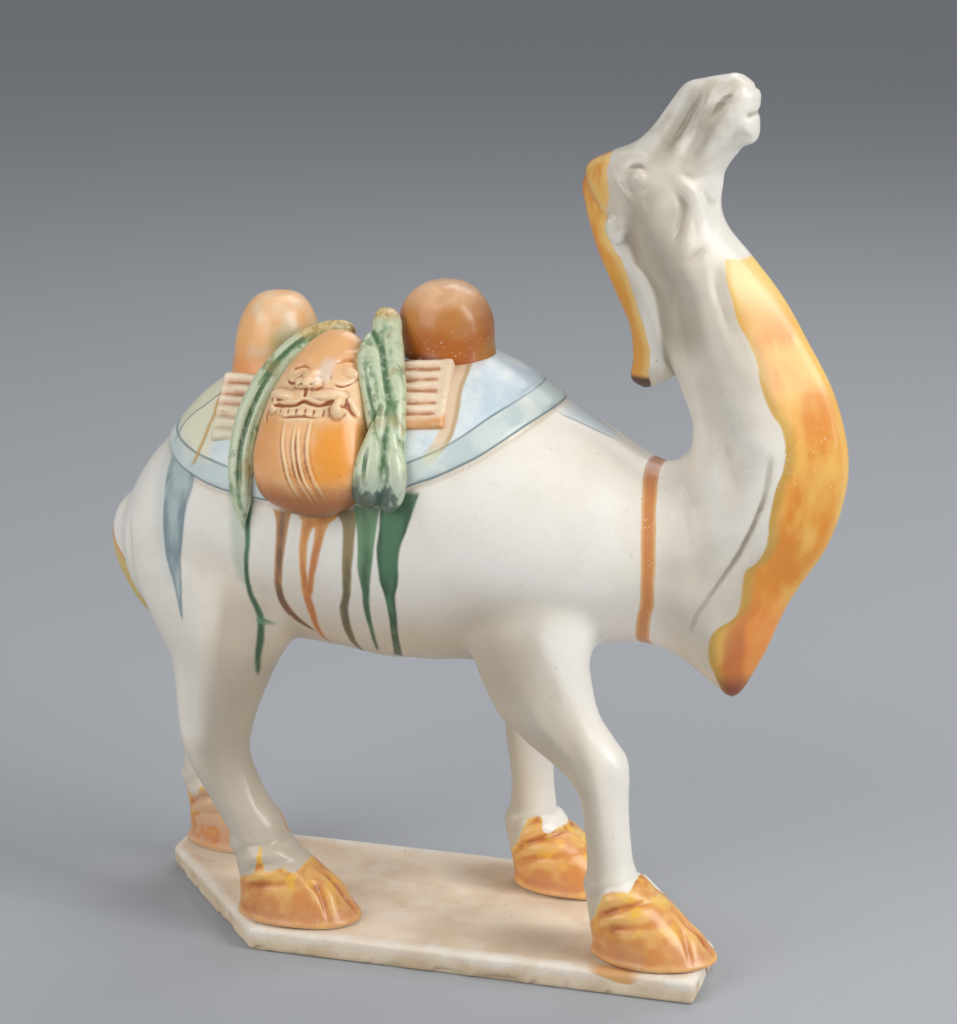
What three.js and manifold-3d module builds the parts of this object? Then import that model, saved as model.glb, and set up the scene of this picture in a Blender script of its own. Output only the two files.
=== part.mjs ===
import * as THREE from 'three';
import { mergeVertices } from 'three/addons/utils/BufferGeometryUtils.js';
import Module from 'manifold-3d';

const wasm = await Module();
wasm.setup();

// Driving sizes, in millimetres
const figureHeight = 435; // from the soles to the raised muzzle
const slabThickness = 12.5;
const slabMargin = 4; // slab beyond the hooves, at the sides, the far toe and the rear heel
const slabToeShy = 4; // the foremost toe reaches this far over the slab's front edge
const slabCornerCut = 12; // how far the cut corners run in along the slab's long sides
const slabEdgeRound = 1.2;

// The figure is drawn on squared paper: heights and lengths are squares, counted from the middle of the
// slab's top, and the whole figure is a given number of squares tall
const squaresTall = 435;
const square = figureHeight / squaresTall;
const weldDistance = 1e-4;

const place = (x, y, z) => new THREE.Vector3(x * square, y * square, slabThickness + z * square);

// The shares of a form's length where its rings go: one at each row, and one more in each gap between rows
// before the row called coarse
function ringShares(rows, coarse = rows.length) {
  const shares = [];
  rows.forEach((row, i) => {
    shares.push(i / (rows.length - 1));
    if (i < Math.min(coarse, rows.length - 1)) shares.push((i + 0.5) / (rows.length - 1));
  });
  return shares;
}

// A closed skin: a sphere's grid of vertices, each moved to the point that pointAt gives for its share of
// the form's length and its turn around it
function skin(pointAt, shares, around) {
  const geometry = new THREE.SphereGeometry(1, around, shares.length - 1);
  const position = geometry.attributes.position;
  for (let i = 0; i < position.count; i += 1) {
    const ring = Math.floor(i / (around + 1));
    const column = (i % (around + 1)) % around;
    const point = pointAt(shares[ring], (column / around) * 2 * Math.PI);
    position.setXYZ(i, ...place(point.x, point.y, point.z));
  }
  return geometry;
}

// The same form with only its places left, each vertex shared by the faces around it
function welded(geometry) {
  const bare = geometry.clone();
  bare.deleteAttribute('normal');
  bare.deleteAttribute('uv');
  return mergeVertices(bare, weldDistance);
}

function solid(geometry) {
  const shape = welded(geometry);
  const mesh = new wasm.Mesh({
    numProp: 3,
    vertProperties: new Float32Array(shape.attributes.position.array),
    triVerts: new Uint32Array(shape.index.array),
  });
  return new wasm.Manifold(mesh);
}

// The same form on the other side of the middle plane
function mirrored(geometry) {
  const copy = welded(geometry).scale(1, -1, 1);
  const corners = copy.index.array;
  for (let i = 0; i < corners.length; i += 3) {
    [corners[i + 1], corners[i + 2]] = [corners[i + 2], corners[i + 1]];
  }
  return copy;
}

const curveThrough = (points) => new THREE.CatmullRomCurve3(points, false, 'catmullrom', 0.5);

// A form drawn from the side: each row gives a point on its upper or front outline, one on its lower or
// back outline, its half width, and how far that second side is pinched to a ridge
function sideForm(rows, { middle = 0, shares = ringShares(rows), around }) {
  const first = curveThrough(rows.map(([x, z]) => new THREE.Vector3(x, 0, z)));
  const second = curveThrough(rows.map(([, , x, z]) => new THREE.Vector3(x, 0, z)));
  const width = curveThrough(rows.map(([, , , , half, ridge = 0]) => new THREE.Vector3(half, ridge, 0)));
  return skin((share, turn) => {
    const a = first.getPoint(share);
    const b = second.getPoint(share);
    const { x: half, y: ridge } = width.getPoint(share);
    const towardFirst = -Math.sin(turn);
    const pinch = 1 - ridge * THREE.MathUtils.smoothstep(-towardFirst, 0, 1);
    const point = a.clone().lerp(b, 0.5 - 0.5 * towardFirst);
    point.y = middle + half * pinch * Math.cos(turn);
    return point;
  }, shares, around);
}

// Rump, barrel, shoulders, the long bent neck and the head thrown up, in one form
const barrelSides = 20;
const bodyRows = [
  [-164, 192, -164, 192, 0],
  [-161, 204, -160, 172, 16],
  [-152, 222, -148, 150, 34],
  [-132, 242, -126, 139, 48],
  [-104, 270, -96, 138, 56],
  [-62, 287, -58, 139, 62],
  [-10, 292, -10, 134, 65],
  [34, 291, 34, 136, 64],
  [70, 272, 68, 142, 58],
  [98, 256, 96, 150, 50],
  [119, 245, 119, 152, 43, 0.1],
  [129, 245, 138, 144, 40, 0.25],
  [135, 250, 152, 132, 38, 0.4],
  [138, 255, 163, 128, 36, 0.5],
  [139, 260, 174, 146, 35, 0.5],
  [139, 265, 187, 177, 34, 0.5],
  [138, 271, 204, 205, 33, 0.5],
  [135, 278, 213, 232, 32, 0.5],
  [131, 287, 214, 255, 31, 0.5],
  [125, 299, 206, 285, 29, 0.5],
  [118, 317, 191, 312, 27, 0.45],
  [111, 335, 178, 332, 26, 0.35],
  [103, 350, 166, 347, 26, 0.3],
  [94, 364, 153, 361, 27, 0.25],
  [86, 377, 149, 372, 27, 0.2],
  [84, 389, 150, 382, 26, 0.2],
  [94, 397, 153, 389, 23, 0.3],
  [108, 403, 157, 395, 19, 0.3],
  [116, 414, 161, 399, 16, 0.3],
  [124, 426, 165, 404, 15, 0.2],
  [134, 433, 167, 411, 14],
  [146, 435, 165, 419, 12],
  [156, 434, 166, 424, 8],
  [163, 430, 163, 430, 0],
];

// Legs, each as level sections: height, back edge, front edge, half width. The near pair strides forward
// and the far pair stands nearly straight under the shoulder and the rump
const stance = 38; // middle of a hoof from the middle plane
const soleHalfWidth = 22;

const nearForeRows = [
  [196, 66, 66, 0],
  [190, 46, 88, 10],
  [168, 34, 98, 18],
  [146, 39, 97, 22],
  [131, 46, 99, 21],
  [121, 53, 102.5, 19.5],
  [111, 63, 109, 17.5],
  [101, 76, 116, 15.5],
  [92, 86, 117, 15],
  [81, 93, 117, 14],
  [62, 96, 118.5, 13],
  [46, 97, 121, 13],
  [38, 97, 126, 15],
  [30, 97, 139, 18],
  [18, 99, 151, 21],
  [6, 101, 161, soleHalfWidth],
  [0, 102, 162, soleHalfWidth],
  [0, 132, 132, 0],
];

const farForeRows = [
  [196, 50, 50, 0],
  [190, 30, 74, 10],
  [168, 22, 78, 18],
  [146, 26, 70, 20],
  [121, 32, 61, 17],
  [100, 33.5, 59, 15],
  [84, 34, 58, 14],
  [62, 36, 58, 13],
  [46, 36, 60, 13],
  [38, 35, 62, 15],
  [30, 34, 72, 18],
  [18, 37, 86, 21],
  [6, 39, 98, soleHalfWidth],
  [0, 40, 100, soleHalfWidth],
  [0, 70, 70, 0],
];

const nearHindRows = [
  [222, -95, -95, 0],
  [212, -124, -66, 10],
  [184, -142, -50, 19],
  [153, -131, -55, 25],
  [137, -122, -64, 24],
  [121, -119, -72, 21.5],
  [105, -118, -78, 18.5],
  [91, -117, -82, 16.5],
  [79, -113, -81, 15],
  [64, -105, -75, 14],
  [50, -96, -66, 14],
  [40, -91, -59, 15],
  [30, -89, -46, 18],
  [18, -87, -33, 21],
  [6, -87, -25, soleHalfWidth],
  [0, -86, -24, soleHalfWidth],
  [0, -55, -55, 0],
];

const farHindRows = [
  [222, -95, -95, 0],
  [212, -124, -66, 10],
  [184, -146, -52, 19],
  [153, -135, -62, 24],
  [137, -134, -75, 22],
  [121, -136, -87, 19.5],
  [105, -140, -98, 18],
  [91, -143, -106, 16.5],
  [79, -145.5, -112, 15],
  [64, -149, -118, 14],
  [50, -151, -122, 14],
  [40, -151.5, -121, 15],
  [30, -150, -109, 18],
  [18, -149, -96, 21],
  [6, -149, -88, soleHalfWidth],
  [0, -148, -86, soleHalfWidth],
  [0, -117, -117, 0],
];

// A form of level sections, from its top down: height, back edge, front edge, half width
function levelForm(rows, { middle = 0, shares = ringShares(rows), around = 12 } = {}) {
  const stations = rows.map(([z, back, front, half]) => [front, z, back, z, half]);
  return sideForm(stations, { middle, shares, around });
}

const leg = (rows, side) => (
  levelForm(rows, { middle: side * stance, shares: ringShares(rows, 0) }));

// The heel and the toe of a leg's flat sole
function soleOf(rows) {
  const [, heel, toe] = rows[rows.length - 2];
  return { heel, toe };
}

// Egg-shaped masses and bosses, tipped about the crosswise axis
function ball([x, y, z], [rx, ry, rz], { tip = 0, sides = 7, rings = 4 } = {}) {
  const geometry = new THREE.SphereGeometry(1, sides, rings);
  geometry.scale(rx * square, ry * square, rz * square);
  geometry.rotateY(THREE.MathUtils.degToRad(tip));
  const centre = place(x, y, z);
  geometry.translate(centre.x, centre.y, centre.z);
  return geometry;
}

// A flat or round strand laid on the barrel: each row gives a point of its middle line, its half width
// and its half thickness, and its flat sides face away from the barrel's axis
const barrelAxisHeight = 212;
const flankLean = 1.8; // how much more a strand faces sideways than straight away from the axis

function strand(rows, { shares = ringShares(rows, 0), around = 6 } = {}) {
  const middle = curveThrough(rows.map(([x, y, z]) => new THREE.Vector3(x, y, z)));
  const girth = curveThrough(rows.map(([, , , half, thick]) => new THREE.Vector3(half, thick, 0)));
  return skin((share, turn) => {
    const point = middle.getPoint(share);
    const ahead = middle.getTangent(share);
    const outward = new THREE.Vector3(0, flankLean * point.y, point.z - barrelAxisHeight).normalize();
    const across = outward.cross(ahead).normalize();
    const proud = ahead.clone().cross(across);
    const { x: half, y: thick } = girth.getPoint(share);
    point.addScaledVector(across, half * Math.cos(turn));
    return point.addScaledVector(proud, -thick * Math.sin(turn));
  }, shares, around);
}

// The lock of mane on the nape, a fin whose lower tip hangs free, and the short tail laid on the rump
const napeLockRows = [
  [90, 393, 90, 393, 0],
  [104, 386, 80, 382, 8],
  [108, 370, 80.5, 369, 9],
  [110, 352, 86, 351, 9],
  [113, 338, 93, 337, 8],
  [118, 326, 100, 325, 7.5],
  [122, 312, 106, 311, 7],
  [125, 297, 107.5, 296, 7],
  [125, 288, 106.5, 285, 6],
  [114, 280, 114, 280, 0],
];

const tailRows = [
  [-154, 213, -154, 213, 0],
  [-150, 200, -166, 201, 6],
  [-150, 187, -170.5, 188, 7.5],
  [-148, 172, -169, 171, 7.5],
  [-145, 158, -163, 156, 6.5],
  [-142, 148, -155, 144, 5],
  [-148, 136, -148, 136, 0],
];

// The humps, standing up through the saddle
const rearHumpRows = [
  [318, -78, -78, 0],
  [316, -88, -68, 12],
  [310, -94, -61, 18],
  [301, -98, -57, 22],
  [288, -100, -56, 24],
  [270, -98, -57, 24],
  [262, -78, -78, 0],
];
const frontHumpRows = [
  [329, 13, 13, 0],
  [327.5, 2, 24, 13],
  [321, -7, 33, 21],
  [311, -12, 38, 26],
  [298, -12, 39, 27],
  [283, -9, 37, 26],
  [276, 13, 13, 0],
];

// The saddle cloth: the barrel's own form grown by the cloth's thickness, kept above the hem
const clothThickness = 2;
const clothHem = [
  [-131, 243],
  [-122, 238],
  [-109, 232],
  [-84, 227],
  [-40, 226],
  [-8, 230],
  [12, 239],
  [28, 246],
  [44, 256],
  [59, 264],
  [74, 266],
  [92, 262],
];
const clothTopHeight = 320;
const barrelHalfWidth = Math.max(...bodyRows.map(([, , , , half]) => half));
const rowsUnderCloth = 12; // rows of the body that the cloth reaches over, from the rump on

function saddleCloth() {
  const grown = bodyRows.slice(0, rowsUnderCloth).map(([x, z, lowX, lowZ, half]) => (
    half === 0 ? [x, z, lowX, lowZ, half] : [x, z + clothThickness, lowX, lowZ, half + clothThickness]));
  const [lastX, lastZ] = grown[grown.length - 1];
  grown.push([lastX + clothThickness, lastZ, lastX + clothThickness, lastZ, 0]);
  const over = sideForm(grown, { around: barrelSides });
  const hem = new THREE.SplineCurve(clothHem.map(([x, z]) => new THREE.Vector2(x, z)));
  const points = hem.getPoints(2 * clothHem.length);
  const outline = new THREE.Shape(points.map(({ x, y }) => new THREE.Vector2(x * square, y * square)));
  outline.lineTo(points[points.length - 1].x * square, clothTopHeight * square);
  outline.lineTo(points[0].x * square, clothTopHeight * square);
  const width = 2 * (barrelHalfWidth + 2 * clothThickness) * square; // past the cloth on both flanks
  const above = new THREE.ExtrudeGeometry(outline, { depth: width, bevelEnabled: false });
  above.rotateX(Math.PI / 2);
  above.translate(0, width / 2, slabThickness);
  return { over, above };
}

// A ribbed pack board on the slope beside a hump: from its lower edge to its upper edge, between two
// places along the barrel, with level ribs
const boardThickness = 4;
const boardRibs = 6;
const ribRise = 2;
const ribProfile = [[0.2, 1], [0.6, 1], [0.8, 0], [1, 0]]; // shares of the pitch and of the rise

function packBoard([rearX, frontX], [lowY, lowZ], [highY, highZ]) {
  const slope = Math.hypot(highY - lowY, highZ - lowZ);
  const pitch = slope / boardRibs;
  const outline = new THREE.Shape([new THREE.Vector2(0, -boardThickness), new THREE.Vector2(0, boardThickness)]);
  for (let rib = 0; rib < boardRibs; rib += 1) {
    ribProfile.forEach(([run, rise]) => outline.lineTo((rib + run) * pitch, boardThickness + rise * ribRise));
  }
  outline.lineTo(slope, -boardThickness);
  const board = new THREE.ExtrudeGeometry(outline, { depth: frontX - rearX, bevelEnabled: false });
  const up = new THREE.Vector3(0, highY - lowY, highZ - lowZ).normalize();
  const along = new THREE.Vector3(1, 0, 0);
  const out = along.clone().cross(up);
  board.applyMatrix4(new THREE.Matrix4().makeBasis(up, out, along));
  board.translate(rearX, lowY, lowZ);
  board.scale(square, square, square);
  board.translate(0, 0, slabThickness);
  return board;
}

const nearBoards = [
  packBoard([-14, 24], [-51, 265], [-24, 292]),
  packBoard([-97, -77], [-47, 250], [-24, 277]),
];

// The mask bag slung over the flank, and the twisted ribbons that hold it
const bagRows = [
  [-36, -18, 299, 0, 0],
  [-36, -23, 297, 15, 8],
  [-36, -35, 288, 23, 13],
  [-36, -48, 274, 27, 18],
  [-36, -57, 258, 29, 21],
  [-36, -62, 243, 29, 21],
  [-37, -65, 232, 24, 17],
  [-37, -66, 225, 13, 10],
  [-37, -65, 221, 0, 0],
];

const frontRibbonRows = [
  [
    [-13, -2, 305, 0, 0],
    [-12, -9, 304, 7, 6],
    [-15, -22, 296, 8, 6],
    [-16, -36, 286, 8, 6],
    [-12, -47, 274, 8, 7],
    [-4, -57, 261, 8, 7],
    [4, -64, 248, 8, 6],
    [4, -68, 237, 8, 6],
    [0, -69, 228, 0, 0],
  ],
  [
    [-8, -2, 304, 0, 0],
    [-5, -10, 303, 7, 6],
    [0, -22, 295, 7.5, 6],
    [3, -36, 285, 7, 6],
    [0, -47, 274, 7, 6],
    [-6, -57, 260, 7.5, 6],
    [-9, -64, 249, 8, 6],
    [-7, -68, 238, 8, 6],
    [-3, -69, 229, 0, 0],
  ],
];

const rearRibbonRows = [
  [-22, -10, 295, 0, 0],
  [-31, -13, 299, 6, 5],
  [-43, -16, 301, 7, 5.5],
  [-55, -20, 298, 7.5, 5.5],
  [-65, -26, 290, 7.5, 5.5],
  [-73, -34, 279, 7.5, 5.5],
  [-79, -43, 265, 8, 5.5],
  [-81, -52, 250, 8, 5.5],
  [-80, -59, 235, 7.5, 5],
  [-76, -63, 221, 5, 4],
  [-71, -64, 209, 0, 0],
];

// The beast's face on the bag: a snub nose, bulging lips and fangs raised, the mouth cut, and four lines
// that sweep down over the smooth lower half
const maskRelief = [
  ball([-46, -51, 291], [7, 3, 2.5]),
  ball([-26, -48, 292.5], [7, 3, 2.5]),
  ball([-47, -56, 286.5], [4, 3, 3]),
  ball([-27, -54, 288], [4, 3, 3]),
  ball([-38, -61, 284], [5.5, 6, 5]),
  ball([-47.5, -64, 279.5], [9, 5, 3.5]),
  ball([-29, -64, 280.5], [9.5, 5, 3.5]),
  ball([-56, -65, 272.5], [3, 3.5, 5.5]),
  ball([-21, -66, 273], [3, 3.5, 5.5]),
];

const lineStarts = [-46, -41, -38, -33];
const lineSweep = 11.5; // how far forward a line drifts on its way down the bag
const lineHalfWidth = 0.9;
const lineHalfDepth = 1.4;
const lineCourse = [ // share of the sweep, place across and up, and how open the line is there
  [0, -68, 278, 0],
  [0.05, -71.5, 272, 1],
  [0.3, -78, 262, 1],
  [0.55, -83, 246, 1],
  [0.85, -81.5, 234, 1],
  [1, -76, 226, 0],
];

const maskLine = (x) => {
  const rows = lineCourse.map(([drift, y, z, open]) => (
    [x + lineSweep * drift, y, z, open * lineHalfWidth, open * lineHalfDepth]));
  return strand(rows, { around: 4 });
};

const mouthCut = ball([-39, -68.5, 277.5], [14, 3, 1.2]);

const nearLoad = [
  ...nearBoards,
  strand(bagRows, { around: 16 }),
  ...frontRibbonRows.map((rows) => strand(rows)),
  strand(rearRibbonRows),
  ...maskRelief,
];

// The head's own features: eye, brow and ear raised, and the ear's pit, the nostril, the folds of the
// cheek and the parting of the lips cut in
const nearHead = [
  ball([115.5, -23, 387], [5, 4.5, 4.5]),
  ball([111, -21, 392], [9, 5, 3], { tip: -25 }),
  ball([103, -20, 361], [5, 4.5, 8], { tip: -20 }),
];

const nearHeadCuts = [
  ball([103.5, -24, 361], [2.6, 3, 5], { tip: -20 }),
  ball([151, -14, 422], [9, 3, 1.6], { tip: -42 }),
  ball([133.5, -16, 415.5], [14, 3, 1.8], { tip: -60 }),
  ball([138, -17, 411.5], [11, 2.5, 1.4], { tip: -62 }),
];

const lipParting = ball([169, 0, 419], [6.5, 16, 2], { tip: 8 });

// The cleft between the two toes of a hoof
const cleftSize = [15, 1.2, 15];
const cleftSetBack = 5;
const cleftHeight = 11;
const toeCleft = (rows, side) => (
  ball([soleOf(rows).toe - cleftSetBack, side * stance, cleftHeight], cleftSize));

// Every hoof with its leg, the near side first
const legs = [
  [nearForeRows, -1],
  [farForeRows, 1],
  [nearHindRows, -1],
  [farHindRows, 1],
];

const bothSides = (nearPieces) => [...nearPieces, ...nearPieces.map(mirrored)];

const raised = [
  sideForm(bodyRows, { shares: ringShares(bodyRows, rowsUnderCloth), around: barrelSides }),
  ...legs.map(([rows, side]) => leg(rows, side)),
  sideForm(napeLockRows, { shares: ringShares(napeLockRows, 0), around: 9 }),
  sideForm(tailRows, { shares: ringShares(tailRows, 0), around: 9 }),
  levelForm(rearHumpRows),
  levelForm(frontHumpRows),
  ...bothSides(nearLoad),
  ...bothSides(nearHead),
];

const cut = [
  mouthCut,
  mirrored(mouthCut),
  ...lineStarts.map(maskLine),
  ...bothSides(nearHeadCuts),
  lipParting,
  ...legs.map(([rows, side]) => toeCleft(rows, side)),
];

const cloth = saddleCloth();
const joined = raised.map(solid).reduce((whole, piece) => whole.add(piece))
  .add(solid(cloth.over).intersect(solid(cloth.above)));
const camelSolid = cut.map(solid).reduce((whole, piece) => whole.subtract(piece), joined);

function meshOf(manifold, name, material) {
  const { vertProperties, triVerts } = manifold.getMesh();
  const geometry = new THREE.BufferGeometry();
  geometry.setAttribute('position', new THREE.BufferAttribute(new Float32Array(vertProperties), 3));
  geometry.setIndex(new THREE.BufferAttribute(new Uint32Array(triVerts), 1));
  const mesh = new THREE.Mesh(geometry, material);
  mesh.name = name;
  return mesh;
}

// The slab, cut to the stance of the hooves with its two far corners slanted off
function baseSlab() {
  const side = (stance + soleHalfWidth) * square + slabMargin;
  const nearHeel = soleOf(nearHindRows).heel * square;
  const farHeel = soleOf(farHindRows).heel * square;
  const nearToe = soleOf(nearForeRows).toe * square;
  const farToe = soleOf(farForeRows).toe * square;
  const rear = farHeel - slabMargin;
  const front = nearToe - slabToeShy;
  const corners = [
    [nearHeel + slabCornerCut, -side],
    [front, -side],
    [front, -(stance - soleHalfWidth) * square],
    [farToe + slabMargin, side],
    [rear + slabCornerCut, side],
    [rear, side - slabCornerCut],
    [rear, (stance - soleHalfWidth) * square + slabCornerCut],
  ];
  const shape = new THREE.Shape(corners.map(([x, y]) => new THREE.Vector2(x, y)));
  const slab = new THREE.ExtrudeGeometry(shape, {
    depth: slabThickness - 2 * slabEdgeRound,
    bevelThickness: slabEdgeRound,
    bevelSize: slabEdgeRound,
    bevelOffset: -slabEdgeRound,
    bevelSegments: 2,
  });
  return slab.translate(0, 0, slabEdgeRound);
}

const creamGlaze = new THREE.MeshStandardMaterial({ color: '#e9e0d2', roughness: 0.25, metalness: 0 });
const bareClay = new THREE.MeshStandardMaterial({ color: '#d8c3ae', roughness: 0.8, metalness: 0 });

const sancaiCamel = new THREE.Group();
sancaiCamel.add(meshOf(camelSolid, 'camel', creamGlaze));
sancaiCamel.add(meshOf(solid(baseSlab()), 'base_slab', bareClay));

export default sancaiCamel;
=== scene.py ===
# %% [markdown]
# # A laden camel in three glazes
# The real figure was pressed in moulds from pale clay, joined while damp, painted with lead glazes that ran
# in the kiln, and set on a flat slab of bare clay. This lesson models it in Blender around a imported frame
# that already fixes its size: soft clay forms are fused and carved, and the running glazes are node groups.

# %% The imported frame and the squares
import math

import bmesh
import bpy
import numpy as np
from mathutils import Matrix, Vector, noise


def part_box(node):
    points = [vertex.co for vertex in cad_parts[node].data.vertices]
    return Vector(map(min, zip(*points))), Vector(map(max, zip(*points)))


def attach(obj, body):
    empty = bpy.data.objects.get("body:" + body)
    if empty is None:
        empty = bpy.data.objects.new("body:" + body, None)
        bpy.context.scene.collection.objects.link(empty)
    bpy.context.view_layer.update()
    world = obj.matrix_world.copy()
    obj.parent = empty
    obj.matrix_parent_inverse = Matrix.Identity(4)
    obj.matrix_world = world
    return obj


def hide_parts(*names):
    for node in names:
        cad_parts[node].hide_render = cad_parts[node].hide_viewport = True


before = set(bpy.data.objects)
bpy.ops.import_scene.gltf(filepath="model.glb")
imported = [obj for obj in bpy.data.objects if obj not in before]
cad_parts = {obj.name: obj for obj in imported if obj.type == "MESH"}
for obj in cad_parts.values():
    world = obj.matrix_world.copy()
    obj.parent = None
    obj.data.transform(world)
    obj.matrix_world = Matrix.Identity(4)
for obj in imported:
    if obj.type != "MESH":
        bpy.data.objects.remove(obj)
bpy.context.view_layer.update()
camel_low, camel_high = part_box("camel")
_, slab_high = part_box("base_slab")

SQUARES_TALL = 435
square = (camel_high.z - camel_low.z) / SQUARES_TALL
slab_top = slab_high.z
NEAR, FAR = -1, 1
# A place to the side that is past everything, in squares
BEYOND = 99


def place(x, y, z):
    """A point in metres from squares counted from the middle of the slab's top."""
    return Vector((x * square, y * square, slab_top + z * square))


print(f"one square is {square * 1000:.3f} mm and the slab is {slab_top * 1000:.1f} mm thick")

# %% [markdown]
# ## The camera
# The camera comes first, so that every later step can be judged from the picture's own angle. A long lens
# from a metre and a half keeps the legs nearly parallel, as in a catalogue photograph.

# %% Camera
CAMERA_AZIMUTH, CAMERA_ELEVATION = math.radians(16.5), math.radians(16)
CAMERA_DISTANCE = 1.5
CAMERA_LENS = 105.47
CAMERA_TARGET = Vector((0.0293, 0.0, 0.2235))

towards_camera = Vector((
    math.sin(CAMERA_AZIMUTH) * math.cos(CAMERA_ELEVATION),
    -math.cos(CAMERA_AZIMUTH) * math.cos(CAMERA_ELEVATION),
    math.sin(CAMERA_ELEVATION),
))
camera = bpy.data.objects.new("camera", bpy.data.cameras.new("camera"))
bpy.context.scene.collection.objects.link(camera)
camera.location = CAMERA_TARGET + towards_camera * CAMERA_DISTANCE
camera.rotation_euler = towards_camera.to_track_quat("Z", "Y").to_euler()
camera.data.lens = CAMERA_LENS
camera.data.sensor_width = 36
camera.data.clip_start = 0.05
bpy.context.scene.camera = camera

# %% [markdown]
# ## Drawing clay forms
# A leg, a neck or a ribbon is a closed skin round a path. A globe from create_uvsphere already has the
# right faces and closed poles, so each of its vertices is only moved: its ring says how far along the form
# it is, and its meridian says how far round. Rows of numbers at stations along the form are joined by a
# smooth curve.

# %% Forms drawn from rows


def between(rows, share):
    """The row at a share of a form's length, on a smooth curve through all the rows."""
    position = share * (len(rows) - 1)
    first = min(int(position), len(rows) - 2)
    t = position - first
    start, end = rows[first], rows[first + 1]
    before = rows[first - 1] if first > 0 else 2 * start - end
    after = rows[first + 2] if first + 2 < len(rows) else 2 * end - start
    return 0.5 * (
        2 * start + (end - before) * t
        + (2 * before - 5 * start + 4 * end - after) * t**2
        + (3 * start - before - 3 * end + after) * t**3
    )


def skin(point_at, rings, around):
    """A closed form: the globe's vertices moved to where point_at(share, turn) says."""
    form = bmesh.new()
    bmesh.ops.create_uvsphere(form, u_segments=around, v_segments=rings, radius=1)
    for vert in form.verts:
        share = math.acos(max(-1.0, min(1.0, vert.co.z))) / math.pi
        vert.co = place(*point_at(share, math.atan2(vert.co.y, vert.co.x)))
    bmesh.ops.recalc_face_normals(form, faces=form.faces)
    return form


def smoothstep(value, low, high):
    t = np.clip((value - low) / (high - low), 0, 1)
    return t * t * (3 - 2 * t)


def side_form(rows, around, middle=0, rings=120):
    """Rows of (front x, z, back x, z, half width, pinch of the back to a ridge), as seen from the side."""
    rows = [Vector((*row, 0)[:6]) for row in rows]

    def point_at(share, turn):
        front_x, front_z, back_x, back_z, half, ridge = between(rows, share)
        forward = math.sin(turn)
        lean = 0.5 + 0.5 * forward
        pinch = 1 - ridge * smoothstep(-forward, 0, 1)
        return (
            back_x + (front_x - back_x) * lean,
            middle + half * pinch * math.cos(turn),
            back_z + (front_z - back_z) * lean,
        )

    return skin(point_at, rings, around)


def level_form(rows, rings, middle=0, around=48):
    """Rows of (height, back edge, front edge, half width), for what stands upright."""
    stations = [(front, z, back, z, half) for z, back, front, half in rows]
    return side_form(stations, around, middle, rings)


BARREL_AXIS = 212
FLANK_LEAN = 1.8
TWIST_TURNS = 0.55


def strand(rows, rings, around, squareness=1.0, folds=0.0):
    """Rows of (x, y, z, half width, half thickness) for what lies on the flank, with folds round it."""
    rows = [Vector(row) for row in rows]
    step = 1 / (4 * len(rows))

    def point_at(share, turn):
        row = between(rows, share)
        ahead = (between(rows, min(1, share + step)) - between(rows, max(0, share - step))).xyz.normalized()
        outward = Vector((0, FLANK_LEAN * row.y, row.z - BARREL_AXIS)).normalized()
        across = outward.cross(ahead).normalized()
        proud = ahead.cross(across)
        sideways = math.copysign(abs(math.cos(turn)) ** squareness, math.cos(turn))
        upright = math.copysign(abs(math.sin(turn)) ** squareness, math.sin(turn))
        swell = 1 + folds * math.cos(3 * turn + TWIST_TURNS * math.tau * share)
        sideways, upright = sideways * swell, upright * swell
        return row.xyz + across * row[3] * sideways + proud * row[4] * upright

    return skin(point_at, rings, around)


def ball(centre, radii, tip=0):
    """An egg, tipped about the crosswise axis."""
    form = bmesh.new()
    bmesh.ops.create_uvsphere(form, u_segments=20, v_segments=20, radius=1)
    bmesh.ops.scale(form, vec=Vector(radii) * square, verts=form.verts)
    lean = math.radians(tip)
    turn = Vector((0, 0, 1)).rotation_difference(Vector((math.sin(lean), 0, math.cos(lean))))
    bmesh.ops.rotate(form, cent=(0, 0, 0), matrix=turn.to_matrix(), verts=form.verts)
    bmesh.ops.translate(form, vec=place(*centre), verts=form.verts)
    return form


def mirrored(form):
    """The same form on the other flank."""
    other = form.copy()
    bmesh.ops.scale(other, vec=(1, -1, 1), verts=other.verts)
    bmesh.ops.reverse_faces(other, faces=other.faces)
    return other


# %% [markdown]
# ## Fusing and carving clay
# Damp clay parts are luted together, so their joints vanish. A voxel remesh does the same: it wraps one
# even skin round all the overlapping forms. Its even faces are then good to carve. A mark is a line seen
# from the side, with a width and a depth, and the vertices near it move in, or out for a ridge, along their
# normals.

# %% Fuse, relax and carve


def fused(name, forms, voxel, smoothing=4):
    """One object with a single even skin round all the forms."""
    whole = bmesh.new()
    for form in forms:
        part = bpy.data.meshes.new("part")
        form.to_mesh(part)
        whole.from_mesh(part)
        form.free()
        bpy.data.meshes.remove(part)
    rough = bpy.data.meshes.new(name)
    whole.to_mesh(rough)
    whole.free()
    piece = bpy.data.objects.new(name, rough)
    bpy.context.scene.collection.objects.link(piece)
    remesh = piece.modifiers.new("one skin", "REMESH")
    remesh.mode = "VOXEL"
    remesh.voxel_size = voxel
    remesh.use_smooth_shade = True
    smooth = piece.modifiers.new("wet sponge", "SMOOTH")
    smooth.factor = 0.5
    smooth.iterations = smoothing
    return applied(piece)


def applied(piece):
    """The piece with its modifiers made part of its mesh."""
    graph = bpy.context.evaluated_depsgraph_get()
    finished = bpy.data.meshes.new_from_object(piece.evaluated_get(graph))
    rough = piece.data
    piece.modifiers.clear()
    piece.data = finished
    finished.name = piece.name
    bpy.data.meshes.remove(rough)
    return piece


def points_of(mesh):
    """The vertices' places in squares."""
    places = np.empty(len(mesh.vertices) * 3)
    mesh.vertices.foreach_get("co", places)
    places = places.reshape(-1, 3)
    places[:, 2] -= slab_top
    return places / square


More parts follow.
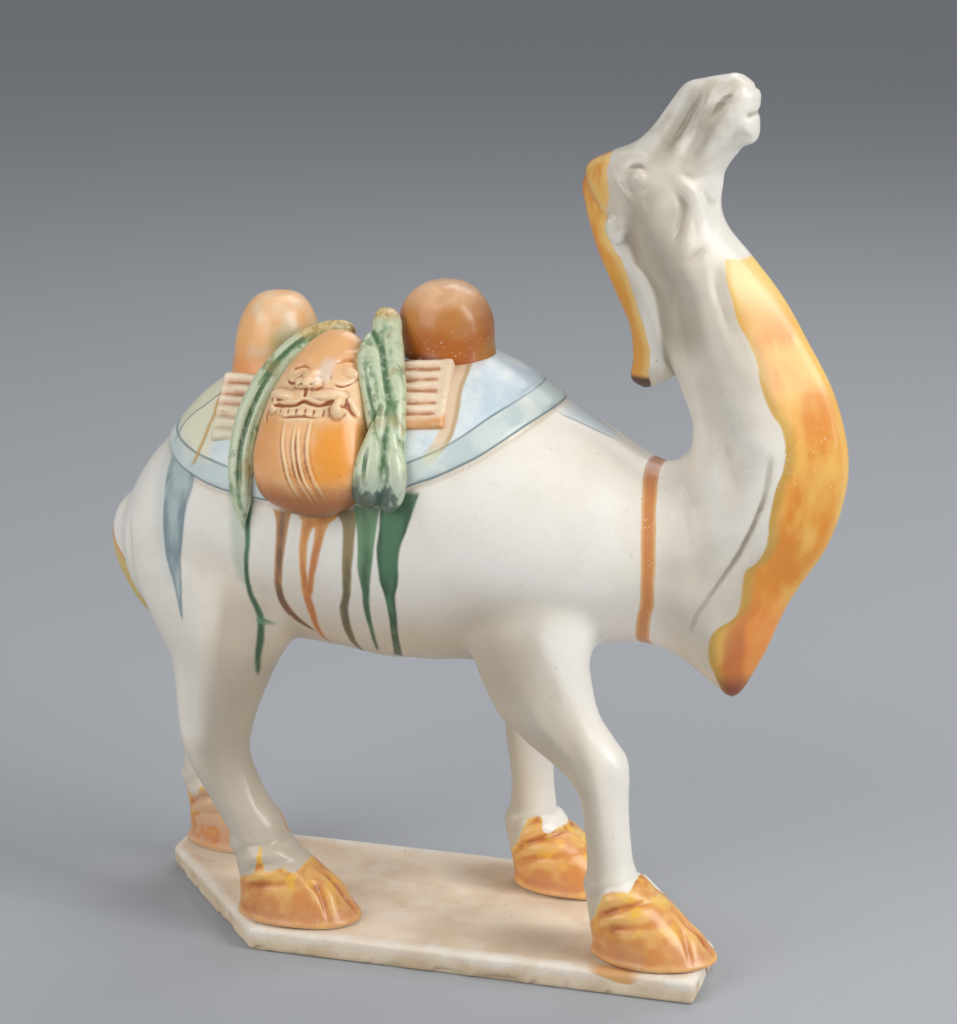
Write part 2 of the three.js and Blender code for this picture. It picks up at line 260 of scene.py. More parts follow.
def set_points(mesh, places):
    places = places * square
    places[:, 2] += slab_top
    mesh.vertices.foreach_set("co", places.ravel())
    mesh.update()


def normals_of(mesh):
    normals = np.empty(len(mesh.vertices) * 3)
    mesh.vertex_normals.foreach_get("vector", normals)
    return normals.reshape(-1, 3)


def edges_of(mesh):
    edges = np.empty(len(mesh.edges) * 2, dtype=np.int32)
    mesh.edges.foreach_get("vertices", edges)
    return edges.reshape(-1, 2)


def neighbours_mean(values, edges, count):
    """For each vertex, the mean of its neighbours' values."""
    first, second = edges[:, 0], edges[:, 1]
    degree = np.bincount(first, minlength=count) + np.bincount(second, minlength=count)
    columns = values.reshape(count, -1).T
    sums = [
        np.bincount(first, weights=column[second], minlength=count)
        + np.bincount(second, weights=column[first], minlength=count)
        for column in columns
    ]
    return (np.array(sums) / np.maximum(degree, 1)).T.reshape(values.shape)


def relax(mesh, amount, times):
    """Smooths the skin, each vertex by its own amount from 0 to 1."""
    places, edges = points_of(mesh), edges_of(mesh)
    amount = np.broadcast_to(amount, len(places))[:, None]
    for _ in range(times):
        places += amount * (neighbours_mean(places, edges, len(places)) - places)
    set_points(mesh, places)


def eased(line, steps=5):
    """A bent line, rounded by the same curve as the forms."""
    if len(line) < 3:
        return line
    rows = [Vector(point) for point in line]
    count = steps * (len(line) - 1)
    return [tuple(between(rows, step / count)) for step in range(count + 1)]


def nearest_on(u, v, line):
    """How far each point (u, v) is from a line, and where along the line it is nearest, 0 to 1."""
    nearest, shares = np.full(len(u), np.inf), np.zeros(len(u))
    ends = line[1:] if len(line) > 1 else line
    for index, ((u1, v1), (u2, v2)) in enumerate(zip(line, ends)):
        du, dv = u2 - u1, v2 - v1
        share = np.clip(((u - u1) * du + (v - v1) * dv) / max(du * du + dv * dv, 1e-9), 0, 1)
        away = np.hypot(u - u1 - share * du, v - v1 - share * dv)
        closer = away < nearest
        nearest = np.where(closer, away, nearest)
        shares = np.where(closer, (index + share) / len(ends), shares)
    return nearest, shares


STROKE_TAPER = 0.4
CLEAR_OF_MIDDLE = 4


def carve(mesh, marks, plane="xz"):
    """Strokes of (line, half width, depth, reach along the axis looked along), in squares."""
    places, normals = points_of(mesh), normals_of(mesh)
    axes = ["xyz".index(letter) for letter in plane]
    along = 3 - sum(axes)
    move = np.zeros(len(places))
    for line, half_width, depth, (low, high) in marks:
        u, v, w = places[:, axes[0]], places[:, axes[1]], places[:, along]
        us, vs = zip(*line)
        near = (w > low) & (w < high) & (u > min(us) - half_width) & (u < max(us) + half_width)
        near &= (v > min(vs) - half_width) & (v < max(vs) + half_width)
        away, share = nearest_on(u[near], v[near], eased(line))
        fade = 1.0
        if len(line) > 1:
            fade = 0.1 + 0.9 * smoothstep(np.minimum(share, 1 - share), 0, STROKE_TAPER)
        move[near] -= depth * fade * (1 - smoothstep(away, 0, half_width))
    set_points(mesh, places + normals * move[:, None])


def on_flanks(marks):
    """The same marks on the near and the far flank."""
    near = [(line, half, depth, (-BEYOND, -CLEAR_OF_MIDDLE)) for line, half, depth in marks]
    return near + [(line, half, depth, (CLEAR_OF_MIDDLE, BEYOND)) for line, half, depth in marks]


def unevenness(places, grain, seed):
    """Soft noise from -1 to 1 at each place, with a grain in squares for each axis."""
    scale = Vector((1 / grain[0], 1 / grain[1], 1 / grain[2]))
    start = Vector((seed, 2 * seed, 3 * seed))
    return np.array([noise.noise(Vector(place) * scale + start) for place in places])


# %% [markdown]
# ## Where glaze pools
# Glaze runs off ridges and gathers in hollows, so every glazed piece carries an attribute called hollow:
# 0.5 on flat clay, more in a groove and less on a ridge. It is the bend of the skin, blurred over its
# neighbours, and the materials read it for depth of colour.

# %% The hollow attribute


def remember_hollows(piece, blur):
    mesh = piece.data
    places, normals, edges = points_of(mesh), normals_of(mesh), edges_of(mesh)
    count = len(places)
    bend = neighbours_mean(places, edges, count) - places
    hollow = (bend * normals).sum(axis=1)
    for _ in range(blur):
        hollow = neighbours_mean(hollow, edges, count)
    hollow = np.clip(0.5 + 0.5 * hollow / np.percentile(np.abs(hollow), 98), 0, 1)
    mesh.attributes.new("hollow", "FLOAT", "POINT").data.foreach_set("value", hollow)


def triangles(piece):
    piece.data.calc_loop_triangles()
    return len(piece.data.loop_triangles)


# %% [markdown]
# ## The animal
# Body, neck and head are one long form seen from the side, the legs are stacks of level sections, and the
# lock on the nape and the tail are thin forms laid on. They are fused at a little over a millimetre, and
# then the head, the neck and the hooves are carved, mark by mark.

# %% Stations of the body, neck and head
BODY_ROWS = [
    (-160, 190, -160, 190, 0), (-156.5, 204, -157, 172, 16), (-148.5, 221, -145.5, 150, 34),
    (-132, 242, -126, 139, 48), (-104, 270, -96, 138, 56), (-62, 287, -58, 139, 62),
    (-10, 292, -10, 134, 65), (34, 291, 34, 136, 64), (70, 272, 68, 142, 58), (98, 256, 96, 150, 50),
    (119, 245, 119, 152, 43, 0.1), (129, 245, 138, 144, 40, 0.25), (135, 250, 152, 132, 38, 0.4),
    (138, 255, 163, 128, 36, 0.5), (139, 260, 174, 146, 35, 0.5), (139, 265, 187, 177, 34, 0.5),
    (138, 271, 204, 205, 33, 0.5), (135, 278, 213, 232, 32, 0.5), (131, 287, 214, 255, 31, 0.5),
    (125, 299, 206, 285, 29, 0.5), (118, 317, 191, 312, 27, 0.45), (111, 335, 178, 332, 26, 0.35),
    (103, 350, 166, 347, 26, 0.3), (94, 364, 153, 361, 27, 0.25), (86, 377, 149, 372, 27, 0.2),
    (84, 389, 150, 382, 26, 0.2), (95, 395.5, 151, 388, 23, 0.3), (107, 400.5, 155, 394.5, 19, 0.3),
    (116, 408.5, 160, 399.5, 16.5, 0.3), (124, 420, 165.4, 403, 15, 0.2), (131, 429.5, 167, 408, 14.5),
    (140, 432.3, 166.6, 413.5, 13.5), (149, 434.2, 166.6, 420.5, 11.5), (156, 435, 166.6, 425.5, 8.5),
    (163, 430.5, 163, 430.5, 0),
]

# %% Stations of the legs, from the shoulder or thigh down to the sole
STANCE = 38
SOLE_HALF = 22

NEAR_FORE = [
    (196, 66, 66, 0), (190, 46, 88, 10), (168, 34, 98, 18), (146, 39, 97, 22), (131, 46, 99, 21),
    (121, 53, 102.5, 19.5), (111, 63, 109, 17.5), (101, 76, 116, 15.5), (92, 86, 117, 15),
    (81, 93, 117, 14), (62, 96, 118.5, 13), (46, 97, 121, 13), (38, 97, 126, 15), (30, 97, 137, 17.5),
    (18, 99, 149.5, 20.5), (6, 101, 160.5, SOLE_HALF), (0, 102, 162, SOLE_HALF), (0, 132, 132, 0),
]
FAR_FORE = [
    (196, 50, 50, 0), (190, 30, 74, 10), (168, 22, 78, 18), (146, 26, 70, 20), (121, 32, 61, 17),
    (100, 33.5, 59, 15), (84, 34, 58, 14), (62, 36, 58, 13), (46, 36, 60, 13), (38, 35, 62, 15),
    (30, 34, 72, 18), (18, 37, 86, 21), (6, 39, 98, SOLE_HALF), (0, 40, 100, SOLE_HALF), (0, 70, 70, 0),
]
NEAR_HIND = [
    (222, -95, -95, 0), (212, -124, -66, 10), (184, -142, -50, 19), (153, -131, -55, 25),
    (137, -122, -64, 24), (121, -119, -72, 21.5), (105, -118, -78, 18.5), (91, -117, -82, 16.5),
    (79, -113, -81, 15), (64, -105, -75, 14), (50, -96, -66, 14), (40, -91, -61.5, 14.5),
    (30, -89, -50, 17), (18, -87, -36, 20), (6, -87, -26, SOLE_HALF), (0, -86, -24, SOLE_HALF),
    (0, -55, -55, 0),
]
FAR_HIND = [
    (222, -95, -95, 0), (212, -124, -66, 10), (184, -146, -52, 19), (153, -135, -62, 24),
    (137, -134, -75, 22), (121, -136, -87, 19.5), (105, -140, -98, 18), (91, -143, -106, 16.5),
    (79, -144.5, -112, 14.5), (64, -147, -117, 13.5), (50, -149, -121, 13), (40, -149.5, -119, 14),
    (30, -148.5, -108, 15.5), (18, -147.5, -97, 16.5), (6, -147.5, -90, 17), (0, -148, -88, 17),
    (0, -117, -117, 0),
]
LEGS = ((NEAR_FORE, -STANCE), (FAR_FORE, STANCE), (NEAR_HIND, -STANCE), (FAR_HIND, STANCE + 5))

NAPE_LOCK = [
    (91, 393, 91, 393, 0), (105, 386, 82, 382, 9), (110, 370, 83, 369, 11), (115, 352, 88.5, 351, 12),
    (118, 338, 94.5, 337, 12), (122.5, 326, 100, 325, 11.5), (127, 312, 106, 311, 10.5),
    (130, 297, 107.5, 296, 9), (128, 288, 106.5, 285, 6.5), (114, 280, 114, 280, 0),
]
TAIL = [
    (-148, 214, -148, 214, 0), (-145, 206, -160.5, 205.5, 9.5), (-145, 200, -166, 198.5, 12.5),
    (-146, 188, -168.8, 187, 13), (-146, 174, -167.5, 173, 12), (-144, 160, -161.5, 158, 9.5),
    (-142, 150, -153.5, 145, 6.5), (-148, 136, -148, 136, 0),
]

# %% Fuse the animal
BODY_VOXEL = 0.00125

head_bosses = [
    ball((114.6, -22.6, 387.3), (4.9, 5, 4.8)),
    ball((103, -20, 361), (5, 4.5, 8), tip=-20),
]
chest_lug = ball((92, -27, 159), (9, 6, 4), tip=35)
animal_forms = [
    side_form(BODY_ROWS, rings=330, around=120),
    side_form(NAPE_LOCK, around=40),
    side_form(TAIL, rings=60, around=40),
    chest_lug,
    *head_bosses,
    *[mirrored(boss) for boss in head_bosses],
    *[level_form(rows, 140, middle) for rows, middle in LEGS],
]
animal = fused("glazed_camel", animal_forms, BODY_VOXEL)
print(f"the fused animal has {len(animal.data.vertices)} vertices")

# %% [markdown]
# ## Softening the joints
# Where a leg enters the barrel, the potter wiped the joint with a wet finger. The vertices near those
# joints get extra rounds of smoothing, and the rest keep their form.

# %% Wipe the joints and add the hand's unevenness


def wipe_joints(mesh):
    x, _, z = points_of(mesh).T
    flank = smoothstep(z, 118, 150) * (1 - smoothstep(z, 205, 232)) * smoothstep(130 - x, 0, 25)
    relax(mesh, 0.5 * flank, 60)


def add_handling(mesh):
    """Knife facets down the legs and slow waves everywhere else."""
    places, normals = points_of(mesh), normals_of(mesh)
    legs = (1 - smoothstep(places[:, 2], 130, 165)) * smoothstep(places[:, 2], 44, 60)
    facets = unevenness(places, (11, 9, 55), seed=3)
    waves = unevenness(places, (34, 30, 34), seed=11)
    move = legs * 0.9 * facets + 0.7 * waves
    set_points(mesh, places + normals * move[:, None])


wipe_joints(animal.data)
add_handling(animal.data)

# %% [markdown]
# ## The face, the neck and the cloth's hem
# Every mark is written as it is seen from the side. Grooves have a positive depth and ridges a negative
# one. The saddle cloth is a sheet of clay two squares thick, so the skin is simply raised above its hem.

# %% Marks of the head and neck
FACE_MARKS = [
    # The brow, the bulging eye and the lid that folds down behind it
    ([(102.5, 391), (108.8, 394.8), (115.1, 396.3), (121, 394)], 3.2, -1.0),
    ([(105.5, 389.8), (110.9, 393), (114.8, 394.2), (119, 392.2)], 1.6, 1.0),
    ([(110.2, 389.6), (112.5, 392.4), (116.5, 392.2), (119.4, 388.6)], 1.6, 0.9),
    ([(119.6, 387), (118, 383), (113.5, 381.6)], 2.4, 0.5),
    ([(101.5, 389), (105.5, 384.7), (108, 381.7), (110.8, 378.4), (113.8, 374)], 1.7, -1.7),
    ([(106, 388), (108.7, 384.3), (110.7, 381.5), (114, 378.4)], 1.6, 0.7),
    ([(115.5, 379), (112.9, 367), (111.3, 356), (113.4, 346.5), (119.5, 338.5)], 4.6, 0.9),
    # The ear, a small curled leaf with a pit
    ([(100.4, 356.5), (98.6, 361.5), (100.2, 365.4), (103.6, 367.2), (107.4, 365), (108.2, 360.5),
      (106, 356.4)], 2.0, -0.9),
    ([(102.6, 364), (104.4, 361.4), (103.4, 357.4)], 2.6, 1.1),
    # The flat cheek and the ridge of the jaw in front of it
    ([(122, 381), (123, 368), (124.5, 355)], 9.5, -1.3),
    ([(129, 386.5), (133.6, 379), (135.6, 372.9), (135, 365.8), (132.8, 358.5), (129, 352)], 3.6, 1.1),
    ([(124.5, 394.5), (131.7, 387.7), (136.5, 383), (141, 376.7), (143.6, 369.2), (145.4, 362),
      (146.6, 356.6)], 4.4, -1.0),
    ([(148, 358.5), (143, 353), (137.8, 349.3), (134.6, 353.5)], 4.0, 0.8),
    ([(144, 387), (146, 379), (148.5, 369)], 4.5, 0.8),
    # The long hollows beside the nose
    ([(142, 430), (138, 423), (133, 413), (127.8, 403.6), (123, 393)], 8.0, 2.2),
    ([(142.5, 428), (139.5, 420.7), (135, 412), (129.5, 402), (126.4, 396)], 1.5, -1.3),
    ([(139.8, 425), (136.4, 417.5), (131.4, 408), (127, 400)], 2.2, 0.9),
    ([(144.6, 424), (141.6, 416.5), (137, 406), (133, 398)], 2.4, 1.3),
    ([(147.4, 431), (145.4, 423.6), (143, 415), (139.4, 405)], 2.4, -1.0),
    ([(147.5, 413.6), (144.2, 406), (140.4, 398), (137.5, 389)], 7.5, 1.8),
    # The nostril, the split lip and the chin
    ([(160.5, 430.5), (153.7, 424.8), (149.1, 419.5), (143.6, 411.5)], 4.2, 1.6),
    ([(158.8, 429.2), (153.2, 424.4), (149.4, 420), (145.6, 414.6)], 1.5, 1.4),
    ([(155, 430.5), (150.2, 426.6), (146.6, 422), (144, 417.5)], 1.8, -0.8),
    ([(159.6, 426.5), (155, 422), (151.4, 418), (148.6, 413.8)], 2.4, -0.8),
    ([(159.6, 417), (155, 412), (150, 406.5)], 4.2, 0.7),
    ([(164.5, 411), (161, 408)], 4.5, -0.8),
]
NECK_CREASE = [
    (182, 262), (181.8, 253), (180, 240.5), (177.4, 231.3), (173.1, 220), (167.5, 208), (161.2, 197.8),
    (154.1, 186.6), (148.2, 176.6), (145.1, 166.1),
]
NECK_MARKS = [
    (NECK_CREASE, 3.2, 1.5),
    ([(187, 248), (185, 230), (178.5, 212), (168, 193)], 4.2, -1.0),
    ([(113, 343.5), (119, 336.6), (123.6, 327), (125.8, 314)], 3.0, 0.6),
    ([(134, 347), (130.5, 331), (131, 314), (133.5, 293)], 6.5, 1.3),
    ([(144, 345), (144, 326), (150, 306), (160, 286), (168, 262)], 9.0, -1.2),
    ([(151, 350), (153.5, 336), (159.5, 320), (167, 303)], 5.0, 1.2),
    ([(150, 292), (158, 268), (164, 246), (163, 228)], 9.0, 1.0),
    ([(-147, 208), (-144, 192), (-141, 174), (-138, 158)], 3.6, 1.3),
]
MIDDLE_MARKS = [
    ([(174, 417.3), (165.5, 417), (161, 415.5)], 3.0, 1.2, (-20, 20)),
    ([(172, 429), (163.5, 428.2), (160.5, 426)], 2.0, 1.0, (-20, 20)),
    ([(170, 398), (162, 399), (156, 397)], 4.0, 1.0, (-20, 20)),
]
CLEFT_HALF, CLEFT_DEPTH = 1.8, 2.2
CLEFT_LENGTH = 24
HOOF_REACH = 26
# The knife's edges down the outer face of each leg
NEAR_LEG_MARKS = [
    ([(75.3, 167), (92.6, 131), (103.5, 107), (105.5, 92.6), (105.8, 68.6), (107, 42)], 6.5, -1.5),
    ([(79, 150), (97, 118), (108, 100), (112, 80), (115, 60)], 6.5, 0.9),
    ([(81.7, 171), (100.6, 131), (112, 106), (117, 78), (122, 52)], 4.5, -1.0),
    ([(60, 156), (78, 124), (89, 108), (98, 88), (100, 58)], 5.5, -0.9),
    ([(-86, 160), (-90.5, 122), (-96, 97), (-103, 85)], 8.0, -1.4),
    ([(-99, 150), (-103, 122), (-106, 100)], 7.0, 1.1),
    ([(-77, 118), (-83, 94), (-77, 70), (-68, 50)], 5.0, -1.0),
    ([(-110, 142), (-112.3, 120), (-111, 96), (-100, 72), (-88, 52)], 5.0, -1.0),
]
FAR_LEG_MARKS = [
    ([(56, 160), (50, 130), (46, 100), (47, 70), (48, 44)], 6.5, -1.4),
    ([(40, 140), (40, 110), (41, 84), (43, 54)], 5.5, 0.8),
    ([(-96, 156), (-108, 124), (-118, 100), (-127, 78), (-131, 56)], 7.5, -1.4),
    ([(-112, 140), (-122, 112), (-130, 88), (-137, 62)], 6.0, 1.0),
]

# %% Carve the head and neck
carve(animal.data, on_flanks(FACE_MARKS))
carve(animal.data, on_flanks(NECK_MARKS))
carve(animal.data, MIDDLE_MARKS)
carve(animal.data, [(*mark, (-BEYOND, 8 - STANCE)) for mark in NEAR_LEG_MARKS])
carve(animal.data, [(*mark, (STANCE - 4, BEYOND)) for mark in FAR_LEG_MARKS])

# %% The cloth raised above its hem
HEM = [
    (-131, 246), (-125.8, 243.2), (-114.4, 237.2), (-104.2, 233.4), (-88.4, 229.2), (-62, 226.4),
    (-38, 226), (-8, 230.5), (14.4, 240.1), (24.8, 244), (35.6, 249.2), (44.7, 253.9), (52.9, 259.2),
    (59.5, 263.7), (66, 267.7), (78, 274),
]
HEM_BORDER = [
    (-131, 252), (-121.5, 249), (-110.7, 245.8), (-93.5, 242), (-60, 238), (-8, 242.5), (13, 251.2),
    (22.6, 255.4), (30.8, 259.8), (39.1, 265.2), (45.9, 270.2), (52.2, 274), (57.9, 277.2), (72, 285),
]
HEM, HEM_BORDER = eased(HEM, 3), eased(HEM_BORDER, 3)
CLOTH_TOP = 325
CLOTH_THICKNESS = 2


def raise_cloth(mesh):
    places, normals = points_of(mesh), normals_of(mesh)
    x, _, z = places.T
    above = z - np.interp(x, *zip(*HEM))
    inside = smoothstep(above, -0.8, 0.8) * smoothstep(x, -131.8, -130.2) * (1 - smoothstep(x, 66, 80))
    inside *= z < CLOTH_TOP
    border, _ = nearest_on(x, z, HEM_BORDER)
    move = inside * (CLOTH_THICKNESS - 0.6 * (1 - smoothstep(border, 0, 1.3)))
    set_points(mesh, places + normals * move[:, None])


raise_cloth(animal.data)

# %% [markdown]
# ## The hooves
# Each foot ends in two toes under folds of skin, and a rounded heel hangs over the back. One set of marks
# is written for a foot whose heel is at 0, and moved to each of the four soles.

# %% Carve the hooves
HOOF_MARKS = [
    ([(1, 19), (5, 23.5), (11, 28), (18.4, 31), (26, 32.2), (31.6, 31), (39, 26)], 1.9, 1.2),
    ([(0, 25), (6, 31), (14, 35), (24, 36.5), (32, 35)], 4.0, -1.3),
    ([(-3, 30), (3, 34), (8, 39), (18, 41), (27, 40)], 1.8, 0.9),
    ([(1, 11), (10, 19), (19.5, 21), (29, 22.5), (37, 23.5)], 1.7, 0.8),
    ([(2, 17), (11, 24), (21, 26.5), (31, 27)], 3.4, -0.9),
    ([(36, 26), (43.8, 19.8), (47.9, 14), (51, 7), (52.5, 2)], 1.8, 1.0),
    ([(39, 29), (47, 21), (51.5, 14), (54.5, 6)], 2.8, -1.0),
    ([(-3, 1.2), (20, 0.8), (64, 0.8)], 1.4, 0.7),
    ([(-4, 31), (-2, 37), (-1, 43)], 6.0, -2.0),
]


def carve_hoof(mesh, rows, middle):
    heel, toe = rows[-2][1], rows[-2][2]
    span = (middle - HOOF_REACH, middle + HOOF_REACH)
    carve(mesh, [([(heel + x, z) for x, z in line], half, depth, span) for line, half, depth in HOOF_MARKS])
    cleft = [(middle, 2), (middle * 1.04, 27)]
    reach = (toe - CLEFT_LENGTH, toe + 4)
    carve(mesh, [(cleft, CLEFT_HALF, CLEFT_DEPTH, reach)], plane="yz")


for rows, middle in LEGS:
    carve_hoof(animal.data, rows, middle)
relax(animal.data, 0.35, 1)

# %% [markdown]
# ## Thinning the skin where it is plain
# The carved skin has far more faces than the smooth flanks need. A Decimate modifier with a vertex group
# keeps them on the head, the hooves and the hem, and spends fewer on the rest.

# %% Decimate by detail
MOST_TRIANGLES = 192000
DETAIL_LEVELS = 8


def thin_out(piece, keep, most):
    group = piece.vertex_groups.new(name="detail")
    steps = np.round(keep * DETAIL_LEVELS).astype(int)
    for level in range(1, DETAIL_LEVELS + 1):
        group.add([int(i) for i in np.nonzero(steps == level)[0]], level / DETAIL_LEVELS, "REPLACE")
    thin = piece.modifiers.new("thin out", "DECIMATE")
    thin.ratio = min(1, most / triangles(piece))
    thin.vertex_group = "detail"
    thin.vertex_group_factor = 2
    thin.invert_vertex_group = True
    applied(piece)
    piece.vertex_groups.clear()


x, y, z = points_of(animal.data).T
detail = np.maximum(smoothstep(z, 335, 350), 1 - smoothstep(z, 42, 52))
detail = np.maximum(detail, 1 - smoothstep(np.abs(z - np.interp(x, *zip(*HEM))), 2, 6))
thin_out(animal, detail, MOST_TRIANGLES)
animal.data.shade_smooth()
remember_hollows(animal, blur=4)
print(f"the animal keeps {triangles(animal)} triangles")

# %% [markdown]
# ## The humps
# Two domes stand up through the saddle. Each is a lump of clay pressed a little flat at the sides, so it is
# drawn as a stack of level sections, like a leg. The foot is sunk into the cloth, and the front hump's
# material draws a dark seam there.

# %% Humps
HUMP_VOXEL = 0.0014
REAR_HUMP = [
    (317.5, -75, -75, 0), (316, -84.5, -66, 11), (310.5, -90.8, -59.5, 17), (301, -95, -55.5, 21),
    (288, -97.3, -54.3, 22.5), (270, -97.3, -55.3, 23), (262, -75, -75, 0),
]
FRONT_HUMP = [
    (328, 12.5, 12.5, 0), (326.5, 2.6, 22.6, 11.5), (320.5, -5.8, 31, 18), (311, -10.2, 35.8, 21.5),
    (298, -10.2, 36.8, 22.5), (283, -8, 36, 22), (276, 13, 13, 0),
]
FINE_VOXEL = 0.0009
HAND_GRAIN = (12, 12, 12)


def finish_clay(piece, blur=3, waves=0.3):
    """The last touches that every fused piece of the load gets."""
    mesh = piece.data
    places, normals = points_of(mesh), normals_of(mesh)
    move = waves * unevenness(places, HAND_GRAIN, seed=5)
    set_points(mesh, places + normals * move[:, None])
    mesh.shade_smooth()
    remember_hollows(piece, blur=blur)
    print(f"{piece.name} has {triangles(piece)} triangles")
    return piece


def hump(name, rows):
    return finish_clay(fused(name, [level_form(rows, rings=80, around=80)], HUMP_VOXEL))


hump_rear = hump("hump_rear", REAR_HUMP)
hump_front = hump("hump_front", FRONT_HUMP)

# %% [markdown]
# ## The pack boards
# On each slope beside a hump lies a board with level ribs, like a louvre. It starts as a cube that is cut
# into strips, and a wave across the strips makes the ribs before the whole is laid on the slope.

# %% Ribbed boards
BOARD_RIBS = 6
BOARD_HALF_THICK = 3.6
RIB_RISE = 2.0
BORDER_WIDTH = 4.5
BOARD_CUTS = 59


def pack_board(name, rear, front, low, high, side, border, lean, tilt):
    """From a lower edge (y, z) to an upper edge, between two places along the barrel.

    The board leans back at the top, and the tilt lifts its front end up the slope.
    """
    slope = math.hypot(high[0] - low[0], high[1] - low[1])
    form = bmesh.new()
    bmesh.ops.create_cube(form, size=1)
    bmesh.ops.subdivide_edges(form, edges=form.edges, cuts=BOARD_CUTS, use_grid_fill=True)
    up = Vector((0, high[0] - low[0], high[1] - low[1])).normalized()
    out = Vector((1, 0, 0)).cross(up)
    ribs_end = front - rear - border
    for vert in form.verts:
        along, across, proud = vert.co.x + 0.5, vert.co.y + 0.5, vert.co.z
        slat = math.sin(math.pi * (across * BOARD_RIBS % 1) ** 1.5) ** 0.7
        strip = float(smoothstep(along * (front - rear), ribs_end - 0.4, ribs_end + 0.4)) if border else 0
        rib = slat + (0.55 - slat) * strip
        thick = BOARD_HALF_THICK * 2 * proud + (RIB_RISE * rib if proud > 0 else 0)
        rounding = min(1, 14 * min(along, 1 - along) + 0.55)
        lift = 0.5 * noise.noise(Vector((along * 3, across * 14, 7 * side)))
        sway = 0.9 * noise.noise(Vector((along * 2, across * 5, 3)))
        climb = slope * across + sway + tilt * (along - 0.5)
        spot = Vector((rear + (front - rear) * along - lean * across, low[0], low[1])) + up * climb
        spot += out * (thick * rounding + lift)
        vert.co = place(spot.x, -side * spot.y, spot.z)
    bmesh.ops.recalc_face_normals(form, faces=form.faces)
    return finish_clay(fused(name, [form], FINE_VOXEL, smoothing=2), waves=0.2)


boards = []
for side, flank in ((NEAR, "near"), (FAR, "far")):
    front_name, rear_name = f"pack_board_front_{flank}", f"pack_board_rear_{flank}"
    boards.append(pack_board(front_name, -14, 27, (-51, 263.5), (-23.5, 290.5), side, BORDER_WIDTH, 3, 4.5))
    boards.append(pack_board(rear_name, -94, -71, (-47, 250), (-24, 278.5), side, 0, 0, 0))

# %% [markdown]
# ## The mask bag
# A sack hangs on each flank, and its upper half was pressed in a mould as the face of a snub-nosed beast
# with fangs. The sack is a strand that swells, the features are eggs fused on, and the mouth, the lids and
# the sweeping lines over the smooth belly are carved.

# %% Mask bags
BAG = [
    (-31, -18, 300.5, 0, 0), (-32.5, -23, 299, 12.5, 7.5), (-35, -34, 289, 19.5, 12),
    (-36.5, -47, 275, 24.8, 17), (-36.5, -56.5, 259, 28.5, 20.5), (-35.5, -62, 245, 30, 21),
    (-34.5, -65, 234, 27, 18), (-34, -66, 227, 18, 12), (-34, -65, 221.5, 0, 0),
]
MASK_EGGS = [
    ((-46, -49.5, 288.2), (6.2, 4.2, 3.2)),
    ((-23, -46.5, 288.8), (6.2, 4.1, 3.4)),
    ((-38, -52.5, 288.4), (5.2, 7.8, 3.4)),
    ((-38.3, -59, 286.6), (4, 5.2, 2.8)),
    ((-42.4, -58.4, 286), (3, 4.8, 2.5)),
    ((-34.6, -58.4, 286.4), (3, 4.6, 2.5)),
    ((-48.4, -58.8, 280), (9.6, 6.2, 2.9)),
    ((-29, -59.4, 281.2), (10.8, 6.6, 3)),
    ((-54.4, -61, 273.6), (3.1, 6, 4.9)),
    ((-21.6, -63.2, 275.4), (3.8, 6.8, 6.2)),
    ((-39, -62.6, 274.6), (14.2, 6, 2.9)),
]
MASK_MARKS = [
    # Brows: a roll with a line drawn under it
    ([(-52, 288), (-48.5, 291), (-44, 292.4), (-38.6, 291.6)], 1.1, 1.2),
    ([(-53, 290), (-48, 293.6), (-43, 294.4), (-38, 293.4)], 1.6, -0.6),
    ([(-30, 293), (-27, 294.6), (-22.5, 294.6), (-18.4, 291.8)], 1.1, 1.2),
    ([(-31, 295.6), (-26.5, 297), (-21.5, 296.6), (-18.5, 294.6)], 1.8, -0.7),
    # Closed lids
    ([(-52, 286.4), (-48, 285.4), (-44, 286.4)], 1.1, 0.8),
    ([(-28, 286.6), (-22, 285), (-16.6, 286.6)], 1.1, 0.8),
    ([(-29.6, 290.2), (-27.8, 287.6)], 1.1, 0.5),
    # Nostrils and the dip under the nose
    ([(-42.2, 286.8), (-40.8, 285.6)], 1.4, 2.4),
    ([(-36.4, 287), (-34.9, 285.9)], 1.4, 2.4),
    ([(-38.6, 284.2), (-38.8, 280.2)], 1.1, 1.0),
    # The mouth line under the curling lip, and the teeth below it
    ([(-60, 276.2), (-56, 277), (-52.4, 275.9), (-46.5, 276.7), (-41.8, 277.6), (-38.6, 279.2),
      (-34.5, 278.4), (-30, 277.7), (-25.4, 278.8), (-22, 281.4)], 1.2, 2.4),
    ([(-53, 272.2), (-47.7, 271.6), (-44, 272.2), (-39.4, 272.8), (-35.8, 273), (-31.4, 272.6),
      (-25, 273.4)], 1.2, 0.8),
    *[([(x, 277), (x, 272.4)], 0.8, 0.6) for x in (-50, -45.6, -41.2, -36.6, -32.2, -27.6)],
    ([(-21, 280.6), (-17.8, 277), (-15.2, 273.5), (-11.6, 270)], 1.3, 1.4),
    ([(-57.5, 274), (-58.5, 270), (-57, 267)], 1.3, 0.6),
]
SWEEP_LINES = [
    [
        (-47, 271.5), (-46.9, 266.2), (-46.4, 259.4), (-44.2, 251.6), (-41.4, 243.5), (-37.2, 236.3),
        (-30.5, 226),
    ],
    [
        (-40.9, 272.4), (-40.9, 266.7), (-40.8, 260), (-39.1, 252.2), (-36.4, 244.1), (-32.1, 236),
        (-27.3, 225.7),
    ],
    [
        (-39, 272.4), (-38.9, 266.5), (-38.1, 260.2), (-36.6, 252.4), (-34, 244.2), (-29.6, 236.2),
        (-25.3, 226),
    ],
    [
        (-33.2, 273), (-33.6, 269.4), (-33.7, 261.7), (-32.2, 252.6), (-29.3, 244.4), (-25.5, 236.9),
        (-22.5, 227),
    ],
]
